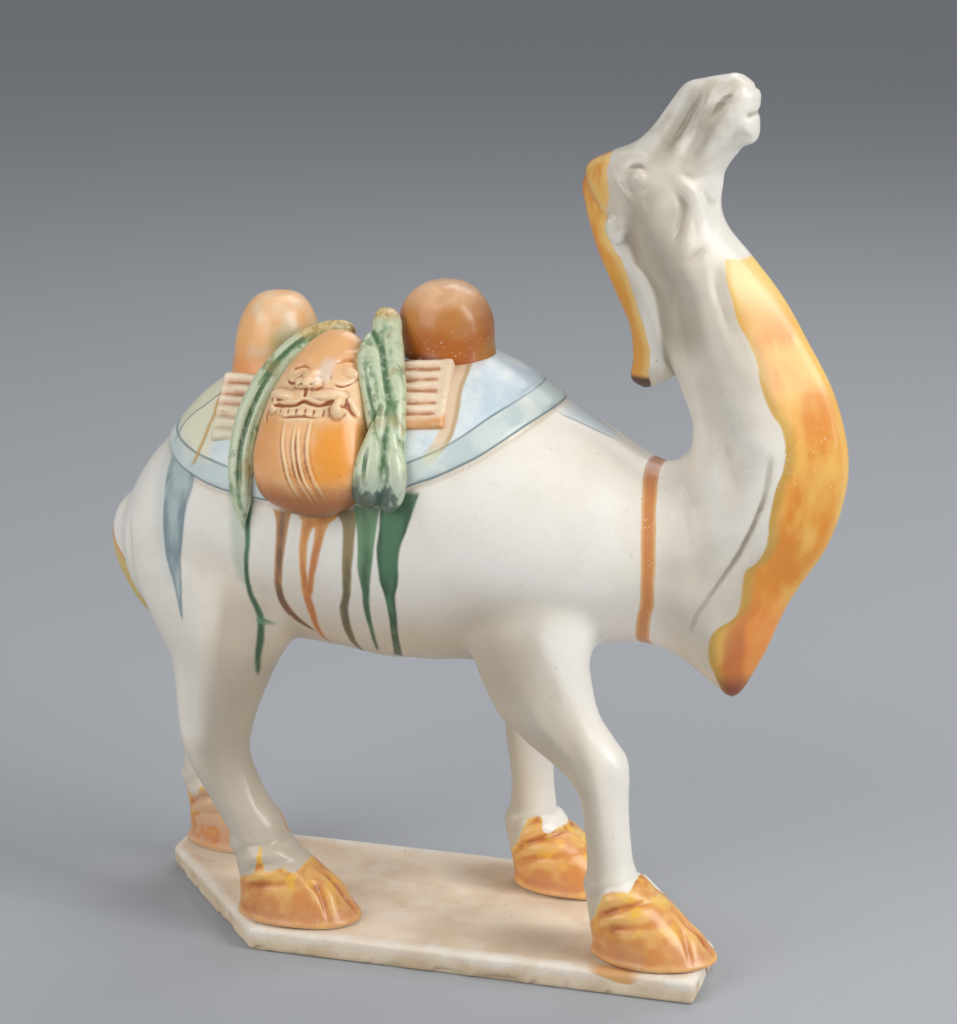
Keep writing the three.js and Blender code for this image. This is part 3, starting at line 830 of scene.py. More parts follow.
BAG_VOXEL = 0.00065
FAR_DROP, FAR_SQUEEZE, SQUEEZE_FROM = 10, 0.2, 262


def hung(z):
    """A height on the far flank, where the load hangs lower and its upper part is shorter."""
    return z - FAR_DROP - FAR_SQUEEZE * max(0, z - SQUEEZE_FROM)


def lowered(rows):
    """The same strand or eggs, as they hang on the far flank."""
    return [(x, y, hung(z), *half) for x, y, z, *half in rows]


def lowered_marks(marks):
    return [([(x, hung(z)) for x, z in line], half, depth) for line, half, depth in marks]


def mask_bag(name, side):
    ridges = [([(x + 0.9, z) for x, z in line], 1.0, -0.5) for line in SWEEP_LINES]
    grooves = [(line, 0.8, 0.2) for line in SWEEP_LINES]
    rows, eggs, marks = BAG, MASK_EGGS, MASK_MARKS + ridges + grooves
    if side == FAR:
        rows, marks = lowered(rows), lowered_marks(marks)
        eggs = [(*lowered([centre]), radii) for centre, radii in eggs]
    forms = [strand(rows, rings=140, around=96), *[ball(*egg) for egg in eggs]]
    if side == FAR:
        forms = [mirrored(form) for form in forms]
    bag = fused(name, forms, BAG_VOXEL, smoothing=9)
    reach = (-BEYOND, 0) if side == NEAR else (0, BEYOND)
    carve(bag.data, [(line, half, depth, reach) for line, half, depth in marks])
    return finish_clay(bag, blur=2, waves=0.2)


mask_bag_near = mask_bag("mask_bag_near", NEAR)
mask_bag_far = mask_bag("mask_bag_far", FAR)

# %% [markdown]
# ## The knotted ribbons
# Rolled strips of clay, flattened and twisted over each other, hold the bags. Each strip is a strand,
# strips that touch are fused, so that glaze can gather between them, and folds are carved along the whole.

# %% Ribbons
FRONT_RIBBON = [
    [
        (-13, -12, 308, 0, 0), (-12.3, -16, 311.5, 5, 4.5), (-11.3, -20.5, 310, 7.2, 5.4),
        (-9.4, -26, 304, 7.4, 5.2), (-6.2, -33, 296, 7.4, 4.8), (-3, -40.5, 287.5, 7.2, 4.6),
        (0, -47.5, 278.5, 7, 4.6), (2.2, -54.5, 269, 6.8, 4.4), (4, -60.5, 258.5, 6.4, 4.4),
        (5.4, -65, 248, 5.4, 4.2), (6, -66, 239, 0, 0),
    ],
    [
        (-18, -29, 307, 0, 0), (-16.6, -32.5, 302, 3.8, 3.4), (-14, -38.5, 294.5, 7, 4.8),
        (-9.8, -44.5, 286, 8, 5), (-5.4, -51.5, 276, 8, 5), (-1, -58, 266.3, 7.8, 5.2),
        (2.8, -63.5, 256.5, 7.6, 5.4), (5.4, -67, 247, 7.8, 5.6), (6, -69, 238.5, 7.2, 5.4),
        (4.6, -69, 231.5, 5.4, 4.4), (2.5, -68, 226, 0, 0),
    ],
    [
        (-1, -58, 277, 0, 0), (-1.8, -61, 271, 2.8, 3), (-3, -64.5, 262.5, 5.2, 4.6),
        (-4.2, -67.5, 254, 7.4, 5.6), (-5, -69.4, 247, 8.4, 6), (-5.4, -70.4, 240, 8.4, 6),
        (-5.2, -69.8, 234, 6.8, 5), (-5, -68, 228, 0, 0),
    ],
]
REAR_RIBBON = [
    [
        (-29, -13, 301, 0, 0), (-33, -15, 304, 3.2, 3), (-39, -17, 304.8, 3.6, 3.4),
        (-48, -20, 302.4, 3.8, 3.6), (-57.5, -25.5, 296.8, 4, 3.8), (-65.2, -32, 288.4, 4.2, 4),
        (-71.2, -39.5, 278.6, 4.3, 4.2), (-75.2, -46.5, 267, 4.4, 4.4), (-77.2, -53, 254, 4.4, 4.4),
        (-77, -58.5, 241.5, 4.3, 4.2), (-75.4, -61.8, 230, 3.8, 3.6), (-73, -63, 219.5, 2.6, 2.6),
        (-71.5, -63.2, 209, 0, 0),
    ],
    [
        (-31, -18, 300, 0, 0), (-39, -20.5, 299.6, 3.2, 3.4), (-48, -24, 297, 3.6, 3.8),
        (-56, -29.5, 291, 3.8, 4), (-62.5, -36, 282.5, 4, 4.2), (-67.5, -43, 271.5, 4.2, 4.4),
        (-70.8, -49.5, 260, 4.4, 4.6), (-72.2, -55.5, 248.5, 4.4, 4.6), (-71.8, -60, 236.5, 4.2, 4.2),
        (-71, -62.6, 226, 3.2, 3.4), (-70.5, -63.2, 215, 0, 0),
    ],
]
FOLD_RISE = 0.05


def ribbon(name, strips, side, folds):
    if side == FAR:
        strips, folds = [lowered(rows) for rows in strips], lowered_marks(folds)
    forms = [strand(rows, rings=120, around=48, squareness=0.8, folds=FOLD_RISE) for rows in strips]
    if side == FAR:
        forms = [mirrored(form) for form in forms]
    piece = fused(name, forms, FINE_VOXEL, smoothing=5)
    reach = (-BEYOND, 4) if side == NEAR else (-4, BEYOND)
    carve(piece.data, [(line, half, depth, reach) for line, half, depth in folds])
    return finish_clay(piece, blur=2, waves=0.35)


FRONT_FOLDS = [
    ([(-11, 310), (-8.5, 300), (-4.5, 290), (-0.5, 280), (2, 271)], 1.8, 0.6),
    ([(-16, 298), (-12.5, 288), (-8, 278), (-2.5, 268), (1.5, 258)], 1.8, 0.7),
    ([(4, 256), (5.6, 247), (5, 238)], 1.8, 0.6),
    ([(-4.5, 262), (-5.5, 252), (-5.4, 242)], 1.8, 0.8),
]
REAR_FOLDS = [
    ([(-33, 306), (-48, 303.4), (-60, 294.6), (-69.5, 281.5), (-76, 267)], 1.5, 0.6),
    ([(-80, 262), (-81.6, 249), (-80, 236), (-77, 224)], 1.5, 0.6),
    ([(-62, 290), (-68, 279), (-72, 266), (-74, 252), (-73.5, 238), (-72.5, 226)], 1.5, 0.8),
    ([(-64, 276), (-68.5, 264), (-69.6, 250), (-69, 238)], 1.3, 0.5),
]
ribbons = []
for side, flank in ((NEAR, "near"), (FAR, "far")):
    ribbons.append(ribbon(f"ribbon_front_{flank}", FRONT_RIBBON, side, FRONT_FOLDS))
    ribbons.append(ribbon(f"ribbon_rear_{flank}", REAR_RIBBON, side, REAR_FOLDS))

# %% [markdown]
# ## The slab
# The slab was cut with a knife from rolled clay, so its rim is softly raised and its lower edge crumbled.
# The outline is filled, extruded and bevelled, then remeshed so that chips can be pushed into the edge.

# %% Slab
SLAB_MARGIN, SLAB_TOE_SHY, SLAB_CORNER_CUT = 4, 4, 12
SLAB_VOXEL = 0.0014
EDGE_ROUND = 0.0016
CHIP_DEPTH, BITE_DEPTH, DISH_DEPTH = 4.2, 5, 0.55


def slab_outline():
    side = STANCE + SOLE_HALF + SLAB_MARGIN
    near_heel, far_heel = NEAR_HIND[-2][1], FAR_HIND[-2][1]
    near_toe, far_toe = NEAR_FORE[-2][2], FAR_FORE[-2][2]
    rear, front = far_heel - SLAB_MARGIN, near_toe - SLAB_TOE_SHY
    return [
        (near_heel + SLAB_CORNER_CUT, -side), (front, -side), (front, SOLE_HALF - STANCE),
        (far_toe + SLAB_MARGIN, side), (rear + SLAB_CORNER_CUT, side), (rear, side - SLAB_CORNER_CUT),
        (rear, STANCE - SOLE_HALF + SLAB_CORNER_CUT),
    ]


def slab_form():
    form = bmesh.new()
    corners = [form.verts.new((x * square, y * square, 0)) for x, y in slab_outline()]
    base = form.faces.new(corners)
    bmesh.ops.recalc_face_normals(form, faces=[base])
    raised = bmesh.ops.extrude_face_region(form, geom=[base])["geom"]
    lifted = [item for item in raised if isinstance(item, bmesh.types.BMVert)]
    bmesh.ops.translate(form, vec=(0, 0, slab_top), verts=lifted)
    bmesh.ops.recalc_face_normals(form, faces=form.faces)
    bmesh.ops.bevel(
        form, geom=form.edges, offset=EDGE_ROUND, segments=3, profile=0.5, affect="EDGES", material=-1,
    )
    return form


def distance_to_rim(x, y):
    outline = slab_outline()
    return nearest_on(x, y, outline + outline[:1])[0]


def weather_slab(mesh):
    places, normals = points_of(mesh), normals_of(mesh)
    x, y, z = places.T
    rim = distance_to_rim(x, y)
    thickness = slab_top / square
    low = 1 - smoothstep(z + thickness, 0.5, 5)
    side = 1 - smoothstep(rim, 0, 3)
    chips = np.maximum(0, unevenness(places, (5, 5, 9), seed=21) - 0.18) * CHIP_DEPTH
    bites = np.maximum(0, unevenness(places, (19, 19, 30), seed=8) - 0.22) * BITE_DEPTH
    wave = unevenness(places, (40, 40, 60), seed=2)
    move = -low * side * (chips + bites) - 0.35 * side * (1 + wave)
    places = places + normals * move[:, None]
    top = smoothstep(z + thickness, thickness - 1.5, thickness - 0.3)
    dish = DISH_DEPTH * smoothstep(rim, 3, 12) + 0.35 * (1 + unevenness(places, (26, 26, 26), seed=4)) * 0.5
    places[:, 2] -= top * dish
    places[:, 2] = np.clip(places[:, 2], -thickness, 0)
    set_points(mesh, places)


slab = fused("bare_clay_slab", [slab_form()], SLAB_VOXEL, smoothing=2)
weather_slab(slab.data)
slab.data.shade_smooth()
remember_hollows(slab, blur=2)
print(f"the slab has {triangles(slab)} triangles")

# %% [markdown]
# ## Sums that become nodes
# Glaze is not one colour: it is thin on ridges, deep in hollows, and its edges wander. Each material is
# built from many small nodes. So a Value below stands for one output of a node, and a plain sum or product
# of values adds the Math nodes that work it out. Colours are written as they look on a screen and made
# linear for the shader.

# %% Values that build their own nodes


def tone(red, green, blue):
    """A colour as it looks on a screen, from 0 to 255, as the linear values that a shader wants."""
    shares = [value / 255 for value in (red, green, blue)]
    return (*[share / 12.92 if share < 0.04 else ((share + 0.055) / 1.055) ** 2.4 for share in shares], 1)


class Value:
    """A number or colour in a shader tree. A sum written with it adds Math nodes to that tree."""

    def __init__(self, socket):
        self.socket, self.tree = socket, socket.id_data

    def __add__(self, other):
        return maths("ADD", self, other)

    def __sub__(self, other):
        return maths("SUBTRACT", self, other)

    def __rsub__(self, other):
        return maths("SUBTRACT", other, self)

    def __mul__(self, other):
        return maths("MULTIPLY", self, other)

    def __truediv__(self, other):
        return maths("DIVIDE", self, other)

    def __rtruediv__(self, other):
        return maths("DIVIDE", other, self)

    def __pow__(self, other):
        return maths("POWER", self, other)

    def __abs__(self):
        return maths("ABSOLUTE", self)


def add(tree, kind, links, **settings):
    """A new node with its settings made and its inputs linked or set."""
    node = tree.nodes.new(kind)
    for name, value in settings.items():
        setattr(node, name, value)
    for socket, value in links.items():
        if isinstance(value, Value):
            send(value, node.inputs[socket])
        else:
            node.inputs[socket].default_value = value
    return node


def send(value, socket):
    value.tree.links.new(value.socket, socket)


def made(tree, kind, output, links, **settings):
    """One output of a new node, as a value."""
    return Value(add(tree, kind, links, **settings).outputs[output])


def maths(operation, first, second=0.0):
    tree = first.tree if isinstance(first, Value) else second.tree
    return made(tree, "ShaderNodeMath", 0, {0: first, 1: second}, operation=operation)


def larger(first, second):
    return maths("MAXIMUM", first, second)


def rise(value, low, high):
    """0 at low and 1 at high, soft between; low may be the larger of the two."""
    ends = {"Value": value, "From Min": low, "From Max": high}
    return made(value.tree, "ShaderNodeMapRange", "Result", ends, interpolation_type="SMOOTHSTEP")


def spread(value, low, high):
    """A value from 0 to 1 stretched evenly from low to high."""
    ends = {"Value": value, "To Min": low, "To Max": high}
    return made(value.tree, "ShaderNodeMapRange", "Result", ends, clamp=False)


def mixed(share, under, over):
    return made(share.tree, "ShaderNodeMix", 2, {0: share, 6: under, 7: over}, data_type="RGBA")


def mixed_number(share, first, second):
    return made(share.tree, "ShaderNodeMix", 0, {0: share, 2: first, 3: second}, data_type="FLOAT")


def layered(colour, *coats):
    """Coats of (mask, colour) laid over a first colour, the lowest coat first."""
    for mask, coat in coats:
        colour = mixed(mask, colour, coat)
    return colour


def near_line(value, line, half):
    """1 where a value lies on a line and 0 beyond half a width from it."""
    return rise(abs(value - line), half, half * 0.35)


def drawn(value, points):
    """A smooth curve through (value, result) points, as a Float Curve node."""
    points = sorted(points)
    starts, results = zip(*points)
    low, high = starts[0], starts[-1]
    least, most = min(results), max(results) + 0.001
    ends = {"Value": value, "From Min": low, "From Max": high}
    share = made(value.tree, "ShaderNodeMapRange", "Result", ends)
    node = add(value.tree, "ShaderNodeFloatCurve", {"Value": share})
    shares = [((start - low) / (high - low), (result - least) / (most - least)) for start, result in points]
    curve = node.mapping.curves[0]
    curve.points[0].location, curve.points[1].location = shares[0], shares[-1]
    for spot in shares[1:-1]:
        curve.points.new(*spot)
    for point in curve.points:
        point.handle_type = "AUTO"
    node.mapping.update()
    return spread(Value(node.outputs["Value"]), least, most)


def new_group(name, colours_in=(), numbers_in=(), colours_out=(), numbers_out=()):
    """A node group with named inputs and outputs: its tree, its values and its output sockets."""
    tree = bpy.data.node_groups.new(name, "ShaderNodeTree")
    for labels, way, kind in (
        (colours_in, "INPUT", "NodeSocketColor"), (numbers_in, "INPUT", "NodeSocketFloat"),
        (colours_out, "OUTPUT", "NodeSocketColor"), (numbers_out, "OUTPUT", "NodeSocketFloat"),
    ):
        for label in labels:
            tree.interface.new_socket(label, in_out=way, socket_type=kind)
    return tree, named(tree.nodes.new("NodeGroupInput")), tree.nodes.new("NodeGroupOutput").inputs


def named(node):
    return {socket.name: Value(socket) for socket in node.outputs}


def use(tree, group, **links):
    """A group placed in a tree, with its named inputs linked or set; gives its outputs by name."""
    links = {name.replace("_", " "): value for name, value in links.items()}
    return named(add(tree, "ShaderNodeGroup", links, node_tree=group))


# %% Places in squares and noise, as every material reads them
DRIFTS_PER_SQUARE = 0.06


def object_place(tree):
    return made(tree, "ShaderNodeTexCoord", "Object", {})


def soft_noise(tree, grain, detail=2.0, seed=0.0, stretch=(1, 1, 1)):
    """Noise from 0 to 1 whose lumps are about a grain of squares across."""
    shift = {"Vector": object_place(tree), "Location": (seed, seed, seed), "Scale": stretch}
    moved = made(tree, "ShaderNodeMapping", 0, shift)
    links = {"Vector": moved, "Scale": 1 / (grain * square), "Detail": detail}
    return made(tree, "ShaderNodeTexNoise", 0, links)


def cells(tree, grain, feature="F1"):
    """The distance to the middle, or the edge, of cells about a grain of squares across."""
    links = {"Vector": object_place(tree), "Scale": 1 / square / grain}
    return made(tree, "ShaderNodeTexVoronoi", "Distance", links, feature=feature)


def hollow_of(tree):
    return made(tree, "ShaderNodeAttribute", "Fac", {}, attribute_name="hollow")


def make_place_group():
    """X, Y and Z of the surface in squares, and the same X and Z wandering a little, as glaze edges do."""
    tree, _, out = new_group("place in squares", numbers_out=("X", "Y", "Z", "Loose X", "Loose Z"))
    spot = object_place(tree)
    axes = named(add(tree, "ShaderNodeSeparateXYZ", {0: spot}))
    x, z = axes["X"] / square, (axes["Z"] - slab_top) / square
    links = {"Vector": spot, "Scale": DRIFTS_PER_SQUARE / square, "Detail": 3.0}
    drift = made(tree, "ShaderNodeTexNoise", "Color", links)
    sway = named(add(tree, "ShaderNodeSeparateColor", {0: drift}))
    send(x, out["X"])
    send(axes["Y"] / square, out["Y"])
    send(z, out["Z"])
    send(x + spread(sway["Red"], -2.4, 2.4), out["Loose X"])
    send(z + spread(sway["Green"], -3, 3), out["Loose Z"])
    return tree


PLACE = make_place_group()

# %% [markdown]
# ## What all the glazes share
# Lead glaze shows the same faults whatever its colour: an orange-peel ripple, a fine crackle where it
# shrank more than the clay, and pinholes where gas escaped. One group makes these as masks and a height. A
# second group gives a coloured glaze its depth, from three colours: thin on a ridge, full, and deep in a
# hollow.

# %% Shared glaze groups
CRACKLE_STRENGTH, PINHOLE_STRENGTH = 0.07, 0.5
COAT_ROUGHNESS, LEAD_GLAZE_IOR = 0.14, 1.55


def make_kiln_group():
    """The marks that a kiln leaves in any glaze."""
    numbers_out = ("Crackle", "Pinholes", "Salt", "Height", "Roughness")
    tree, given, out = new_group("kiln marks", numbers_in=("Crackle Size",), numbers_out=numbers_out)
    seams = cells(tree, given["Crackle Size"], "DISTANCE_TO_EDGE")
    crackle = rise(seams, 0.05, 0.0) * rise(soft_noise(tree, 9, detail=1), 0.45, 0.65)
    pinholes = rise(cells(tree, 5.5), 0.09, 0.05) * rise(soft_noise(tree, 4, detail=0, seed=3.1), 0.56, 0.66)
    salt = rise(cells(tree, 1.7), 0.3, 0.15) * rise(soft_noise(tree, 5, seed=8.3), 0.5, 0.6)
    peel, slow = soft_noise(tree, 5, detail=1, seed=1.7), soft_noise(tree, 22, detail=1, seed=4.4)
    send(crackle, out["Crackle"])
    send(pinholes, out["Pinholes"])
    send(salt, out["Salt"])
    send(peel * 0.35 + slow - pinholes * 0.8, out["Height"])
    send(spread(soft_noise(tree, 12, seed=6.2), 0.28, 0.5), out["Roughness"])
    return tree


def make_depth_group():
    """One glaze in three depths of colour."""
    tree, given, out = new_group(
        "glaze depth", colours_in=("Thin", "Full", "Deep"), numbers_in=("Pooling", "Patchiness"),
        colours_out=("Colour",),
    )
    lumps = spread(soft_noise(tree, 10, detail=3, seed=2.3), -0.5, 0.5)
    depth = lumps * given["Patchiness"] + ((hollow_of(tree) - 0.5) * given["Pooling"] + 0.5)
    send(layered(
        given["Thin"],
        (rise(depth, 0.2, 0.5), given["Full"]),
        (rise(depth, 0.5, 0.85), given["Deep"]),
    ), out["Colour"])
    return tree


KILN = make_kiln_group()
DEPTH = make_depth_group()


class Surface:
    """What a finish asks of the clay under it: its place in squares, its hollows, its salt and noise."""

    def __init__(self, tree, salt=None):
        self.tree, self.salt, self.hollow = tree, salt, hollow_of(tree)
        self.x, self.y, self.z, self.loose_x, self.loose_z = use(tree, PLACE).values()

    def noise(self, grain, **settings):
        return soft_noise(self.tree, grain, **settings)

    def glaze(self, thin, full, deep, pooling, patchiness):
        """A glaze's colour, from thin on a ridge to deep in a hollow."""
        return use(
            self.tree, DEPTH, Thin=thin, Full=full, Deep=deep, Pooling=pooling, Patchiness=patchiness,
        )["Colour"]


def new_material(name):
    """A new material, its tree and the inputs of its shader."""
    material = bpy.data.materials.new(name)
    material.use_nodes = True
    return material, material.node_tree, material.node_tree.nodes["Principled BSDF"].inputs


def bumped(height, strength):
    links = {"Height": height, "Strength": strength, "Distance": square}
    return made(height.tree, "ShaderNodeBump", 0, links)


def glazed(name, finish_colour, crackle_size=6.0, bump=0.25, coat=0.45, crackle=tone(120, 104, 84)):
    """A glazed material: finish_colour gives the colour, and the rest is the shared kiln work."""
    material, tree, shader = new_material(name)
    marks = use(tree, KILN, Crackle_Size=crackle_size)
    colour = layered(
        finish_colour(Surface(tree, marks["Salt"])),
        (marks["Crackle"] * CRACKLE_STRENGTH, crackle),
        (marks["Pinholes"] * PINHOLE_STRENGTH, tone(112, 84, 64)),
    )
    send(colour, shader["Base Color"])
    send(marks["Roughness"], shader["Roughness"])
    send(bumped(marks["Height"], bump), shader["Normal"])
    shader["Coat Weight"].default_value = coat
    shader["Coat Roughness"].default_value = COAT_ROUGHNESS
    shader["Coat IOR"].default_value = LEAD_GLAZE_IOR
    return material


# %% [markdown]
# ## The cream glaze and its painted bands
# The animal wears a cream glaze. Over it, amber was brushed on the chest, the nape and the hooves, a strap
# was painted round the chest, and blue washed over the cloth. Each edge is a curve drawn over the height or
# the length of the body, so a band keeps its course on both flanks, and the loose coordinates let the edge
# wander as melted glaze does.

# %% Edges of the painted bands, as (height, place along the body)
STRAP = [
    (245, 120.5), (239, 121.7), (231, 123.5), (218, 125.1), (203, 126), (187, 125.7), (176, 123.4),
    (160, 119.6),
]
STRAP_HALF = 3.4
MANE_TOP = 349
# Painted shadows in the hollows beside the nose and down the cheek, as (line of x and height, half width,
# strength)
PAINTED_HEAD_SHADOWS = [
    ([(141, 429), (137, 421), (132, 411), (127, 402), (122, 392)], 8, 0.8),
    ([(153, 424), (149, 419), (145, 412), (141, 402), (137, 390)], 7, 0.7),
    ([(117, 384), (118, 370), (119, 354), (126, 338), (132, 318), (137, 300)], 12, 0.65),
    ([(131, 376), (132, 362), (131, 350), (137, 336), (142, 318), (146, 302)], 10, 0.6),
]
LOCK_CREASE = [
    (376, 111.7), (358, 110.5), (346, 112.2), (340.6, 117.6), (334.8, 121.5), (328.8, 123.9),
    (315, 125.7), (300, 126.7), (290, 127.8),
]
MANE = [
    (350, 155), (340.3, 156.7), (331.5, 159.3), (322.7, 162.5), (312.4, 168.1), (302.2, 172.6),
    (292, 175.9), (278, 182), (265.3, 187.5), (255.4, 187.8), (242, 184.8), (226.2, 182.2), (215.9, 181),
    (208.5, 178.2), (203.7, 175.1), (199.2, 170.6), (191.6, 169.4), (183.1, 168.1), (176.5, 165.9),
    (172.7, 161.8), (169.9, 157.7), (161.7, 153.6), (151.8, 152.6), (141.4, 154.5), (130, 157),
]
MANE_TIP = [(182, 172), (176, 167.8), (169.7, 163.6), (158.9, 162.3), (147.8, 161.3), (130, 160)]
THROAT = [(330, 171), (347, 156), (361, 145), (372, 140), (389, 143), (398, 150), (408, 160)]
TAIL_EDGE = [
    (206, -167), (197, -167), (187, -165), (180, -161.5), (174, -156.5), (168, -153.5), (158, -149.5),
    (148, -147), (138, -148),
]
LOCK_EDGE = [
    (400, 96), (396, 98), (380, 100), (368, 98.5), (356, 98.5), (345, 104), (329, 110.5), (313, 115.4),
    (300, 118), (289, 117.4), (282, 117),
]
LOCK_TIP = 287
NEAR_HOOVES = [
    (-90, 18), (-84, 21), (-78, 24), (-74, 26), (-72.6, 32), (-71.2, 40), (-69.4, 34), (-66.5, 28),
    (-59.7, 29.5), (-53.4, 27.3), (-48, 32), (-40, 31), (60, 24), (97, 16), (103.5, 22.4), (107.5, 31.7),
    (111.3, 36.8), (117, 38.2), (121, 38), (123.4, 45), (124.8, 51), (126.4, 43), (131.2, 35),
    (136.2, 32), (144, 29),
]
FAR_HOOVES = [
    (-152, 27), (-144.8, 31), (-141, 29.5), (-136, 35), (-133.4, 37.5), (-129, 34), (-122, 32), (30, 16),
    (38, 20), (43.7, 26.1), (47.2, 35), (50.2, 39.8), (54.5, 40.4), (57, 36), (60.4, 32.8), (64, 34.4),
    (67, 34), (71.9, 30), (78, 26),
]
CLOTH_STAIN = [
    (237, -104.5), (243.5, -101.6), (256.5, -98.4), (264.7, -97.4), (272.4, -96.6), (282, -96),
]
OCHRE_STAIN = [
    (245, 18), (252, 21.2), (257, 24.6), (261.4, 27), (266, 28.2), (273, 28.4), (280, 28), (287, 27.6),
    (293, 27),
]
CLOTH_REAR = [(244, -119), (251.7, -117), (257.2, -112.6), (263, -105.1), (272, -94)]
GLAZE_RUNS = {
    "blue": [
        (254, -110, 10), (238, -110.6, 9.6), (230, -111.4, 9.2), (222, -112.5, 8), (213, -113.2, 6.6),
        (204, -113.7, 5.8), (194.5, -113.6, 4.8), (186, -112, 3.5), (177, -109.7, 2.2),
        (169, -108.2, 1.3), (160.5, -106.8, 0.5),
    ],
    "thin green": [
        (226, -73, 5), (219, -71.6, 2.8), (212.6, -71.1, 1.6), (205, -71, 1.3), (196.8, -72.2, 1.3),
        (191, -73, 1.3), (186.4, -73.3, 1.3), (179.2, -72.5, 1.4), (172.5, -70.2, 1.5), (167, -67.8, 1.6),
        (161.4, -66.7, 1.6), (154, -67.1, 1.7), (146.2, -68.4, 1.5), (138, -70, 1.1), (131.7, -71, 0.4),
    ],
    "fleck": [(163.5, -67, 1.4), (162, -65.4, 3), (160.6, -63.6, 3.2), (159.4, -62, 0.6)],
    "brown": [
        (222, -52, 5.5), (217.4, -52, 3.8), (209, -52.9, 2.8), (199, -54.4, 2.3), (188.5, -55.8, 2.1),
        (177.3, -56.7, 2), (168.4, -54.8, 2.1), (162, -51.5, 1.9), (157, -47.6, 1.5), (153, -43.6, 0.8),
    ],
    "left orange": [
        (226, -31.9, 12.5), (220, -34, 9), (213.8, -39.4, 2.8), (199.2, -41.9, 2), (184.9, -42.3, 2),
        (172.5, -41.8, 2.2), (156.2, -42.1, 1.5), (143.1, -38.8, 0.6),
    ],
    "right orange": [
        (226, -31.2, 9), (221.9, -31.2, 7.5), (214.5, -32, 3), (197.2, -36.2, 2), (177.4, -41, 1.7),
    ],
    "olive": [
        (226, -17.2, 8), (223.1, -17.2, 6), (215.9, -17, 3.2), (200.2, -18.2, 2.7), (183.5, -20.3, 2.2),
        (163.4, -24.6, 2.2), (149.8, -24.6, 1.7), (140, -22, 0.5),
    ],
    "left green": [
        (228, -8, 7), (223.9, -8, 6), (211.7, -8.2, 4.5), (195.8, -9.6, 3.5), (184.8, -10.1, 2.2),
        (173.5, -11.3, 1.7), (159.9, -11.7, 1.2), (144.3, -13.8, 1),
    ],
    "right green": [
        (236, 9, 9), (230, 7.6, 8.5), (217.8, 5.4, 7), (203.7, 2.6, 5.5), (191.6, 2.4, 4.7),
        (180.2, 2.1, 2.5), (167.1, 1.2, 2), (150.7, -1.2, 2), (139.8, -5, 2.4),
    ],
}
BLUE_HALO = [
    (254, -111, 13), (240, -112, 14), (222, -116, 11), (204, -117, 8), (190, -116, 5), (176, -113, 2),
]
GREEN_VEIL = [
    (230, -78, 4), (222, -76, 5.5), (212, -75, 5.5), (203, -75.5, 4.5), (192, -76, 3.5), (180, -75, 1),
]
FAR_RUNS_TURN = -76
DARK_EDGED = ("blue", "right green")


def run_over(x, z, rows, blur=0.8):
    """Where one run of glaze lies, 0 to 1, and how near its own middle it is, 0 to 1."""
    centre = drawn(z, [(height, along) for height, along, _ in rows])
    half = drawn(z, [(height, width) for height, _, width in rows])
    away = abs(x - centre)
    edge = away - half
    mask = (
        rise(edge, blur, -blur) * rise(z, rows[-1][0] - 1.5, rows[-1][0] + 3)
        * rise(z, rows[0][0] + 2, rows[0][0] - 1)
    )
    return mask, rise(away / half, 1, 0.1)


# %% The colours of the glazes
# The palest cream is both the thin glaze on ridges and the colour of the painted highlights
CREAM, CREAM_DEEP, CREAM_THIN_AND_HIGHLIGHT = tone(243, 236, 224), tone(228, 217, 199), tone(248, 244, 236)
BELLY_BUFF, LEG_BUFF, NECK_GREY = tone(220, 203, 178), tone(232, 222, 204), tone(208, 197, 178)
SHANK_GREY, THIGH_BUFF, PAINTED_SHADOW_GREY = tone(184, 171, 150), tone(222, 210, 192), tone(168, 158, 138)
SKY, SKY_PALE, SLATE = tone(202, 220, 232), tone(232, 240, 243), tone(92, 116, 126)
GREEN_DEEP = tone(24, 74, 44)
# Height and x of the edge between the light front and the shaded back of a leg
NEAR_FORE_EDGE = [(42, 113), (69, 110), (93, 107), (107, 104), (131, 92), (167, 75)]
FAR_FORE_EDGE = [(44, 51), (70, 49), (100, 47), (130, 50), (160, 56)]
HIND_EDGE = [(86, -101), (97, -96), (122, -90.5), (156, -86), (180, -84)]

# %% The camel's colour, zone by zone


def paint_leg_light_and_shade(at, colour):
    """Painted light and shade: fore legs lit whiter in front and shaded greyer behind, the hind thigh shaded
    in the middle and highlighted at its rear edge, the hind foot paler.
    """
    x, z = at.x, at.z
    far_side = rise(at.y, -5, 5)
    fore = rise(x, 10, 30)
    edge = mixed_number(far_side, drawn(z, NEAR_FORE_EDGE), drawn(z, FAR_FORE_EDGE))
    ahead = x - edge
    # Painted shade on the back of each fore leg and a painted highlight on its lit front
    painted_leg_shade = fore * rise(ahead, 0, -9) * rise(z, 150, 110) * 0.7
    white = fore * rise(ahead, -2, 6) * rise(z, 186, 160) * 0.8
    behind = drawn(z, HIND_EDGE) - x
    hind = rise(x, -50, -66) * rise(z, 190, 165)
    # Painted shade down the middle of the hind thigh and a painted highlight on its rear edge
    middle = hind * rise(behind, 6, -2) * rise(behind, -30, -18) * rise(z, 112, 135) * 0.6
    rear = hind * rise(behind, -2, 12) * rise(z, 86, 100) * 0.55
    foot = rise(x, -30, -50) * rise(z, 84, 58) * 0.5
    return layered(
        colour,
        (painted_leg_shade, SHANK_GREY),
        (white, CREAM_THIN_AND_HIGHLIGHT),
        (middle, SHANK_GREY),
        (rear, CREAM_THIN_AND_HIGHLIGHT),
        (foot, THIGH_BUFF),
    )


